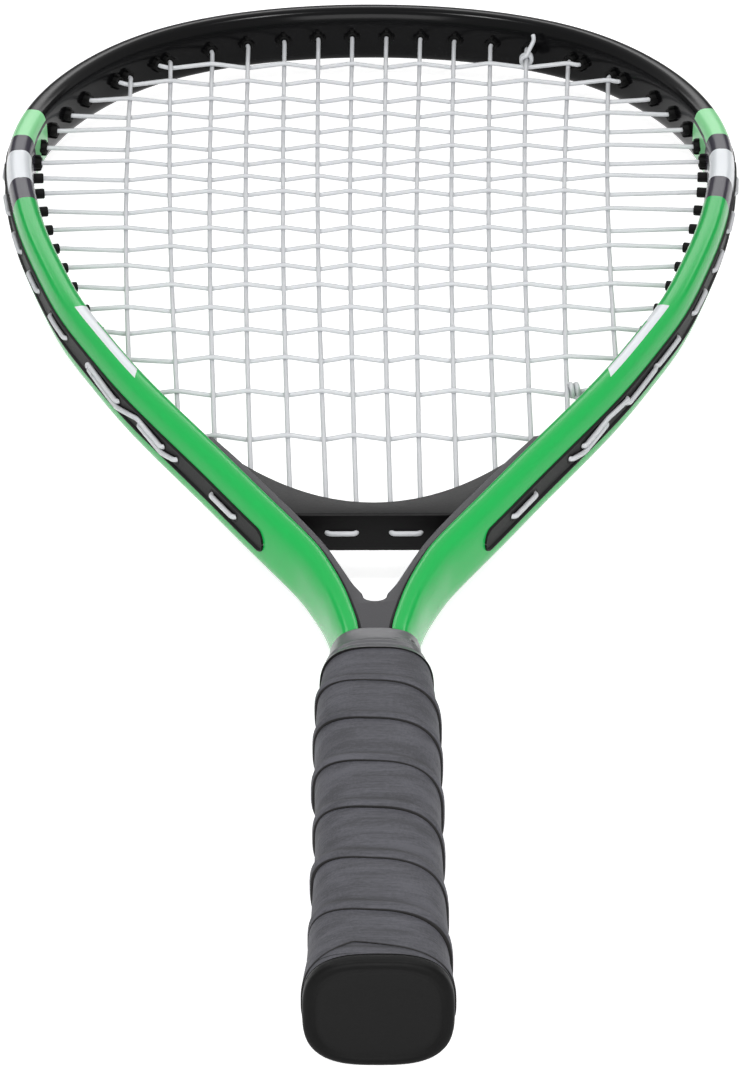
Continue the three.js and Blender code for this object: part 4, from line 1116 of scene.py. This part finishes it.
# Slow waves of the ridge and of the strip's lower edge: amount, pace in radians a turn and start
RIDGE_WAVES = ((0.2, 9.1, 0), (0.12, 23.7, 0))
EDGE_WAVES = ((0.25, 7.3, 0), (0.15, 17.9, 1))
# The strip's start: height over its lower edge, rise over its face, and how dark its edge is painted
# there, dark in itself and with painted shadow under it
LAYER_PROFILE = np.array((
    (0.0, -0.4, 1), (0.0, 0.2, 1), (0.12, 0.3, 0.8), (0.4, 0.34, 0), (1.5, 0.33, 0), (4.0, 0.28, 0),
    (8.0, 0.12, 0), (11.0, -0.1, 0), (11.0, -0.4, 0)))
# Its lower edge: places across the front and their heights; then how far it goes past each side and
# fades there, in radians
LAYER_EDGE_X, LAYER_EDGE_Y = (-18.3, -6.0, 17.6), (4.6, 9.4, 4.2)
LAYER_PAST, LAYER_FADE = 0.25, 0.2
# Height at which those places across are read from the core
LAYER_MIDDLE_Y = 8.0


def waves(turns, table):
    """The sum of amount·sin(pace·turns + start) over the table's rows."""
    return sum(amount * np.sin(turns * pace + start) for amount, pace, start in table)


def wound_strip(thick, ridge, count=880):
    """The strip's own profile carried up the helix, as points, how dark it is painted (its raw edge with
    painted shadow under it, and painted shade in the fold above the ridge) and millimetres along and
    across. At v across, 0 at its lower edge and 1 at the next turn's, it stands off the core by its
    thickness and a ridge that fades above the edge, a little more at the right. Its last turn widens
    to the top, v·(y1 - y0) + (y2 - y1)·v^3, and its end lies at the back."""
    last = len(WRAP_EDGES_Y) - 1
    turns = np.linspace(-1, last - 0.5, count)[:, None]
    across, rise, edge_and_shade = STRIP_PROFILE.T[:, None]
    low, high = (grip_edge(turns[:, 0] + ahead)[:, None] for ahead in (0, 1))
    on_top = np.clip(turns, 0, 1)
    slack = on_top * (1 + waves(turns, RIDGE_WAVES))
    wobble = on_top * waves(turns, EDGE_WAVES)
    off = thick + ridge * np.where(rise > 0, rise * slack, rise)
    spare = np.where(turns > last - 1.5, WRAP_EDGES_Y[-1] - high, 0) * np.clip(across, 0, 1) ** 3
    y = low + (high - low) * across + spare + wobble * (1 - across)
    y = np.clip(y, CORE_START_Y, WRAP_EDGES_Y[-1])
    angle = np.broadcast_to(math.pi / 2 + turns * 2 * math.pi, y.shape)
    off = off + GRIP_LEAN * np.cos(angle) * on_top
    spots = np.stack([np.broadcast_to(turns * TURN_LENGTH, y.shape), y], -1)
    return over_core(angle, y, off), np.broadcast_to(edge_and_shade, y.shape), spots


def first_layer(thick):
    """The strip's thin start over the front, whose lower edge climbs from both sides to a point."""
    angle = np.linspace(-LAYER_PAST, math.pi + LAYER_PAST, 120)[:, None]
    height, rise, edge_and_shade = LAYER_PROFILE.T[:, None]
    across = over_core(angle[:, 0], np.full(len(angle), LAYER_MIDDLE_Y), thick)[:, 0]
    lower = np.interp(across, LAYER_EDGE_X, LAYER_EDGE_Y)[:, None]
    ends = np.clip(np.minimum(angle + LAYER_PAST, math.pi + LAYER_PAST - angle) / LAYER_FADE, 0, 1)
    off = thick + np.where(rise > 0, rise * ends, rise) - 0.15 * (1 - ends)
    y = lower + height
    spots = np.stack([np.broadcast_to(angle * 16.0, y.shape), y + 40.0], -1)
    return over_core(np.broadcast_to(angle, y.shape), y, off), np.broadcast_to(edge_and_shade, y.shape), spots


def grip_mesh(thick, ridge):
    """The grip as one mesh, with a UV map in millimetres along and across the strip."""
    rings, edges_and_shades, spots = zip(wound_strip(thick, ridge), first_layer(thick))
    edges_and_shades = np.concatenate([edge_and_shade.ravel() for edge_and_shade in edges_and_shades])
    # The edge attribute carries how dark each point is painted: the edge face, its painted shadow and the
    # painted shade in the folds
    made = many_skins("grip_strip", rings, 50, attributes={"edge": edges_and_shades})
    spots = np.concatenate([spot.reshape(-1, 2) for spot in spots])
    corner = np.zeros(len(made.data.loops), np.int32)
    made.data.loops.foreach_get("vertex_index", corner)
    made.data.uv_layers.new(name="strip").data.foreach_set("uv", spots[corner].astype(np.float32).ravel())
    return made


# The tape by share of the way up the neck: half width and half depth
TAPE_SHAPE = np.array((
    (0, 15.1, 13.6), (0.1, 14.75, 13.2), (0.2, 14.3, 12.75), (0.35, 13.85, 12.3), (0.5, 13.4, 11.95),
    (0.75, 12.8, 11.5), (1, 12.35, 11.25)))
TAPE_END_Y = 159.2
TAPE_SQUARENESS = 2.5
# How far its upper edge climbs at the right, and the height of its crease at the front and its fall
# to the sides
TAPE_CLIMB = 2.4
CREASE_Y, CREASE_FALL = 151.0, 1.6
RIPPLES_Y = 153.0
# Small gaps under the tape's loose edge, dented in and painted dark as shade: angle from the right and
# height
TAPE_GAPS = ((0.75, 156.6), (0.38, 158.6))


def bell(away, width):
    """exp(-(d/w)^2), which is 1 where d is nought and fades past w."""
    return np.exp(-(away / width) ** 2)


def tape_rings(thick):
    """Tape round the grip's top and the stems, as rings and where they are painted with shade: in the
    gaps under its loose edge, and as shadow along its lower edge. Its half sizes follow a table up the
    neck. A crease r·exp(-((y - y0)/w)^2) runs over the front, with ripples at its right."""
    turn = around(160)[None]
    share = np.linspace(0, 1, 64)[:, None]
    right = np.clip(np.cos(turn), 0, 1)
    front = np.clip(np.sin(turn), 0, 1)
    end_y = TAPE_END_Y + TAPE_CLIMB * right ** 2 + 0.2 * np.sin(turn * 3 + 0.5)
    start_y = TAPE_START_Y - 0.4 + 0.25 * np.sin(turn + 0.8)
    y = start_y + (end_y - start_y) * share
    up_neck = np.clip((y - TAPE_START_Y) / (TAPE_END_Y - TAPE_START_Y), 0, 1)
    halves = natural_spline(TAPE_SHAPE[:, 0], TAPE_SHAPE[:, 1:], up_neck.ravel())
    wide, deep = halves.T.reshape(2, *y.shape)
    wide = wide + GRIP_LEAN * np.cos(turn) * (1 - up_neck)
    square = CORE_SQUARENESS + (TAPE_SQUARENESS - CORE_SQUARENESS) * up_neck
    crease = CREASE_Y - CREASE_FALL * np.cos(turn + 0.25) ** 2
    fold = bell(y - crease, 0.9) - 0.4 * bell(y - crease + 1.7, 0.7)
    ripples = np.sin(y * 3.4 - turn * 4.0) * bell(y - RIPPLES_Y, 3.2) * np.clip(right * 1.4 - 0.3, 0, 1)
    gaps = sum(bell(turn - spot, 0.07) * bell(y - height, 0.5) for spot, height in TAPE_GAPS)
    off = 0.34 * fold * front ** 0.5 + 0.2 * ripples - 0.5 * gaps
    x, z = superellipse(wide + off, deep + off, square, turn)
    rings = [np.stack([x, y, z], -1)]
    inside = ((0.25, end_y + 0.25, -1), (thick, end_y + 0.1, -1), (thick, start_y, 0), (0, start_y, 0))
    for shrink, height, row in inside:
        x, z = superellipse(wide[row] - shrink, deep[row] - shrink, square[row], turn)
        rings.append(np.stack([x, height, z], -1))
    # Painted shade in the gaps under the loose edge, and painted shadow along the tape's lower edge
    dark = np.zeros((len(share) + len(inside), turn.shape[1]))
    dark[:len(share)] = np.clip(gaps * 1.3, 0, 1)
    dark[-2:] = dark[0] = 1
    return np.concatenate(rings), dark


def cap_rings():
    """The butt cap: rings of one superellipse drawn in by a table, from the recessed face over the
    rim and the rounded edge to the side that meets the grip, and where the duller face is."""
    # Height over the butt and way in from the cap's side
    table = np.array((
        (0.62, 14.0), (0.62, 8.0), (0.6, 4.2), (0.52, 3.4), (0.36, 2.9), (0.16, 2.45), (0.04, 2.1),
        (0.0, 1.75), (0.04, 1.35), (0.14, 0.95), (0.34, 0.55), (0.62, 0.25), (1.0, 0.06), (1.4, 0.0),
        (2.4, 0.0), (CAP_THICK - 0.3, 0.0), (CAP_THICK, 0.3), (CAP_THICK, 4.5),
        (CAP_THICK + PLUG_RISE, 4.8), (CAP_THICK + PLUG_RISE, 12.0)))
    turn = around(128)
    y, draw = table.T
    wide, deep = CAP_HALF_WIDE - draw, CAP_HALF_DEEP - draw * CAP_DEEP_SHARE
    x, z = superellipse(wide[:, None], deep[:, None], CAP_SQUARENESS, turn[None])
    face = np.interp(draw, (2.9, 3.6), (0, 1)) * (y < 1)
    return np.stack([x, np.broadcast_to(y[:, None], x.shape), z], -1), np.repeat(face, len(turn))


# Operators


def settings():
    """The racket's colours and sizes."""
    return bpy.context.scene.racket_colours, bpy.context.scene.racket_sizes


class BuildHoop(bpy.types.Operator):
    """Build the lacquered hoop tube"""

    bl_idname = "racket.build_hoop"
    bl_label = "Hoop tube"

    def execute(self, context):
        colours, _ = settings()
        finish(hoop_tube(), lacquered_aluminium(colours), "green_painted_alloy", "frame_tube")
        return {"FINISHED"}


class BuildYoke(bpy.types.Operator):
    """Build the throat yoke"""

    bl_idname = "racket.build_yoke"
    bl_label = "Throat yoke"

    def execute(self, context):
        colours, sizes = settings()
        edge = sizes.yoke_edge / MM
        grey = moulded_nylon("moulded grey nylon", colours.yoke_grey, 0.42, 1.4)
        black = moulded_nylon("moulded black nylon", colours.strip_black, 0.36, 1.25)
        for name, rings, nylon in (
                ("yoke_fork", yoke_fork(edge), grey),
                ("yoke_bridge", yoke_bridge(edge), black)):
            finish(skin_mesh(name, rings, crease=35), nylon, "yoke_plastic", "throat_yoke")
        return {"FINISHED"}


class BuildStrips(bpy.types.Operator):
    """Build the bumper and the grommet strips with their barrels"""

    bl_idname = "racket.build_strips"
    bl_label = "Bumper and strips"

    def execute(self, context):
        colours, _ = settings()
        nylon = moulded_nylon("satin black nylon", colours.strip_black, 0.5, 1.22)
        # Barrels and fins: the strips' own nylon, made rougher and painted a darker black as shade
        shaded_dull_nylon = moulded_nylon("dull black nylon in painted shade", colours.barrel_shade_black, 0.6, 1.2)
        for node, (strips, fins, barrels) in strips_and_barrels().items():
            finish(many_skins(f"{node}_moulding", strips), nylon, "strip_plastic", node)
            finish(many_skins(f"{node}_barrels", barrels, loop=True), shaded_dull_nylon, "strip_plastic", node)
            if fins:
                finish(many_skins(f"{node}_fins", fins), shaded_dull_nylon, "strip_plastic", node)
        return {"FINISHED"}


class BuildStrings(bpy.types.Operator):
    """Lace the main and cross strings"""

    bl_idname = "racket.build_strings"
    bl_label = "Strings"

    def execute(self, context):
        colours, sizes = settings()
        nylon = nylon_string(colours)
        lacing = Stringing(sizes.string_across / MM)
        for node, route in (("main_string", lacing.main_route()), ("cross_string", lacing.cross_route())):
            made = skin_mesh(f"{node}_filament", string_skin(rounded(route), lacing.radius))
            finish(made, nylon, "string_nylon", node)
        return {"FINISHED"}


class BuildGrip(bpy.types.Operator):
    """Wind the grip strip and the finishing tape"""

    bl_idname = "racket.build_grip"
    bl_label = "Grip and tape"

    def execute(self, context):
        colours, sizes = settings()
        strip = grip_mesh(sizes.wrap_thick / MM, sizes.wrap_ridge / MM)
        finish(strip, grip_strip(colours), "grip_synthetic", "grip_wrap")
        # dark holds the tape's painted shade in its gaps and painted shadow along its lower edge
        rings, dark = tape_rings(sizes.tape_thick / MM)
        tape = skin_mesh("neck_tape", rings, {"edge": dark}, loop=True, crease=50)
        finish(tape, stretched_tape(colours), "tape_vinyl", "finishing_tape")
        return {"FINISHED"}


class BuildCap(bpy.types.Operator):
    """Build the butt cap"""

    bl_idname = "racket.build_cap"
    bl_label = "Butt cap"

    def execute(self, context):
        colours, _ = settings()
        rings, face = cap_rings()
        cap = skin_mesh("butt_cap_moulding", rings, {"face": face}, crease=50)
        finish(cap, cap_rubber(colours), "cap_plastic", "butt_cap")
        return {"FINISHED"}


class FinishCore(bpy.types.Operator):
    """Give the solids inside the handle their materials"""

    bl_idname = "racket.finish_core"
    bl_label = "Handle core"

    def execute(self, context):
        for node, material in hidden_materials().items():
            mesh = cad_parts[node].data
            mesh.materials.clear()
            mesh.materials.append(material)
        return {"FINISHED"}


# Studio: the camera's place in the racket's plane, its turn down and to the right in degrees, and
# its lens from the focal length and the picture's height in pixels
CAMERA_PLACE = (-5.2, -853.1, 615.0)
CAMERA_FALL = 29.638
CAMERA_YAW = 0.2464
FOCAL_PIXELS = 4450
PICTURE_PIXELS = 1072
SENSOR = 36
# Softboxes, in metres: name, place, place aimed at, width, height, watts, and whether they light
# matt surfaces too or only show in gloss
LAMPS = (
    ("right overhead softbox", (0.5, -0.17, 1.6), (0, 0, 0), 0.3, 0.3, 4.4, True),
    ("left overhead softbox", (-0.5, -0.17, 1.6), (0, 0, 0), 0.3, 0.3, 3.8, True),
    ("front softbox", (0, -1.5, 0.7), (0, 0, 0), 1.2, 0.8, 17.0, True),
    ("right edge light", (0.5, -0.17, 1.59), (0, 0, 0), 0.26, 0.12, 6.0, False),
    ("left edge light", (-0.5, -0.17, 1.59), (0, 0, 0), 0.26, 0.12, 6.0, False),
    ("back strip softbox", (0, 1.3, 0.56), (0, 0, 0), 2.0, 0.2, 4.6, False),
)
# Card that only gloss shows, in metres, and the gap between the racket and the floor
CARD_Y = 1.32
CARD_HALF = 1.5
CARD_TOP = 0.48
FLOOR_GAP = 0.0002
# Strengths of the paper's own white, of its glow and of the fill from all round
PAPER_WHITE = 0.8
PAPER_GLOW = 0.72
WORLD_FILL = 0.42


def seen_rays(tree):
    """1 for what the camera, gloss and glass see, and 0 for diffuse light."""
    path = add_node(tree, "ShaderNodeLightPath")
    glossy = maths(tree, "MAXIMUM", path.outputs["Is Camera Ray"], path.outputs["Is Glossy Ray"])
    return maths(tree, "MAXIMUM", glossy, path.outputs["Is Transmission Ray"])


def area_light(name, spot, aim, wide, tall, watts, lights_matt):
    """A soft rectangular lamp at a spot in metres, turned to its aim."""
    data = bpy.data.lights.new(name, "AREA")
    data.shape = "RECTANGLE"
    data.size, data.size_y, data.energy = wide, tall, watts
    made = bpy.data.objects.new(name, data)
    made.location = spot
    made.rotation_euler = (Vector(aim) - Vector(spot)).to_track_quat("-Z", "Y").to_euler()
    made.visible_diffuse = lights_matt
    bpy.context.scene.collection.objects.link(made)
    made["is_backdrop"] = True


def studio_sheet(name, corners, material):
    """A flat sheet of the studio from its corners, in metres."""
    mesh = bpy.data.meshes.new(name)
    mesh.from_pydata(corners, [], [(0, 1, 2, 3)])
    mesh.materials.append(material)
    made = bpy.data.objects.new(name, mesh)
    bpy.context.scene.collection.objects.link(made)
    made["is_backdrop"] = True
    return made


def floor_paper():
    """Matt white paper that keeps the racket's shadow and is white where nothing shades it."""
    material = bpy.data.materials.new("matt white studio paper")
    material.use_nodes = True
    tree = material.node_tree
    tree.nodes.clear()
    paper = add_node(tree, "ShaderNodeBsdfDiffuse", {"Color": (*[PAPER_WHITE] * 3, 1)})
    seen = maths(tree, "MULTIPLY", seen_rays(tree), PAPER_GLOW)
    glow = add_node(tree, "ShaderNodeEmission", {"Color": (1, 1, 1, 1), "Strength": seen})
    lit = add_node(tree, "ShaderNodeAddShader", {0: paper.outputs[0], 1: glow.outputs[0]})
    add_node(tree, "ShaderNodeOutputMaterial", {"Surface": lit.outputs[0]})
    return material


def white_world():
    """Plain white behind the racket, and a fainter even fill for diffuse light."""
    world = bpy.data.worlds.new("white studio")
    world.use_nodes = True
    tree = world.node_tree
    tree.nodes.clear()
    fill, white = (
        add_node(tree, "ShaderNodeBackground", {"Color": (1, 1, 1, 1), "Strength": strength}).outputs[0]
        for strength in (WORLD_FILL, 1.0))
    mixed = add_node(tree, "ShaderNodeMixShader", {0: seen_rays(tree), 1: fill, 2: white})
    add_node(tree, "ShaderNodeOutputWorld", {"Surface": mixed.outputs[0]})
    return world


class BuildStage(bpy.types.Operator):
    """Set up the floor, the lamps, the backdrop and the camera"""

    bl_idname = "racket.build_stage"
    bl_label = "Studio"

    def execute(self, context):
        _, sizes = settings()
        scene = context.scene
        half = sizes.floor_half
        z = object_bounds()[0][2] - FLOOR_GAP
        corners = [(-half, -half, z), (half, -half, z), (half, half, z), (-half, half, z)]
        studio_sheet("studio_floor", corners, floor_paper())
        # Uncoated grey card: its dull, even tone is what gloss shows low behind the racket
        card_grey, _, _ = new_material("matt grey card", linear("#9A9A9A"), Roughness=0.9, IOR=1.2)
        corners = [(-CARD_HALF, CARD_Y, z), (CARD_HALF, CARD_Y, z),
                   (CARD_HALF, CARD_Y, CARD_TOP), (-CARD_HALF, CARD_Y, CARD_TOP)]
        card = studio_sheet("reflected_card", corners, card_grey)
        card.visible_camera = card.visible_diffuse = card.visible_shadow = False
        scene.world = white_world()
        for lamp in LAMPS:
            area_light(*lamp)

        camera = bpy.data.cameras.new("camera")
        camera.lens = FOCAL_PIXELS / PICTURE_PIXELS * SENSOR
        camera.clip_end = 20
        seat = bpy.data.objects.new("camera", camera)
        fall, yaw = math.radians(CAMERA_FALL), math.radians(CAMERA_YAW)
        ahead = Vector((math.sin(yaw) * math.cos(fall), math.cos(yaw) * math.cos(fall), -math.sin(fall)))
        turned = ahead.to_track_quat("-Z", "Y").to_matrix().to_4x4()
        seat.matrix_world = Matrix.Translation(Vector(place(CAMERA_PLACE))) @ turned
        scene.collection.objects.link(seat)
        scene.camera = seat
        scene.view_settings.view_transform = "Standard"
        return {"FINISHED"}


class RacketPanel(bpy.types.Panel):
    """The racket's colours, sizes and steps"""

    bl_idname = "VIEW3D_PT_racket"
    bl_label = "Crossminton Racket"
    bl_space_type = "VIEW_3D"
    bl_region_type = "UI"
    bl_category = "Racket"

    def draw(self, context):
        for group in (context.scene.racket_colours, context.scene.racket_sizes):
            box = self.layout.box()
            for key in group.__annotations__:
                box.prop(group, key)
        for operator in STEPS:
            self.layout.operator(operator.bl_idname)


STEPS = (BuildHoop, BuildYoke, BuildStrips, BuildStrings, BuildGrip, BuildCap, FinishCore, BuildStage)
CLASSES = (RacketColours, RacketSizes, *STEPS, RacketPanel)


def register():
    for cls in CLASSES:
        bpy.utils.register_class(cls)
    bpy.types.Scene.racket_colours = PointerProperty(type=RacketColours)
    bpy.types.Scene.racket_sizes = PointerProperty(type=RacketSizes)


def unregister():
    del bpy.types.Scene.racket_sizes
    del bpy.types.Scene.racket_colours
    for cls in reversed(CLASSES):
        bpy.utils.unregister_class(cls)


def main():
    """Registers the add-on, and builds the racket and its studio."""
    register()
    bpy.ops.racket.build_hoop()
    bpy.ops.racket.build_yoke()
    bpy.ops.racket.build_strips()
    bpy.ops.racket.build_strings()
    bpy.ops.racket.build_grip()
    bpy.ops.racket.build_cap()
    bpy.ops.racket.finish_core()
    bpy.ops.racket.build_stage()
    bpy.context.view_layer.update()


if __name__ == "__main__":
    main()
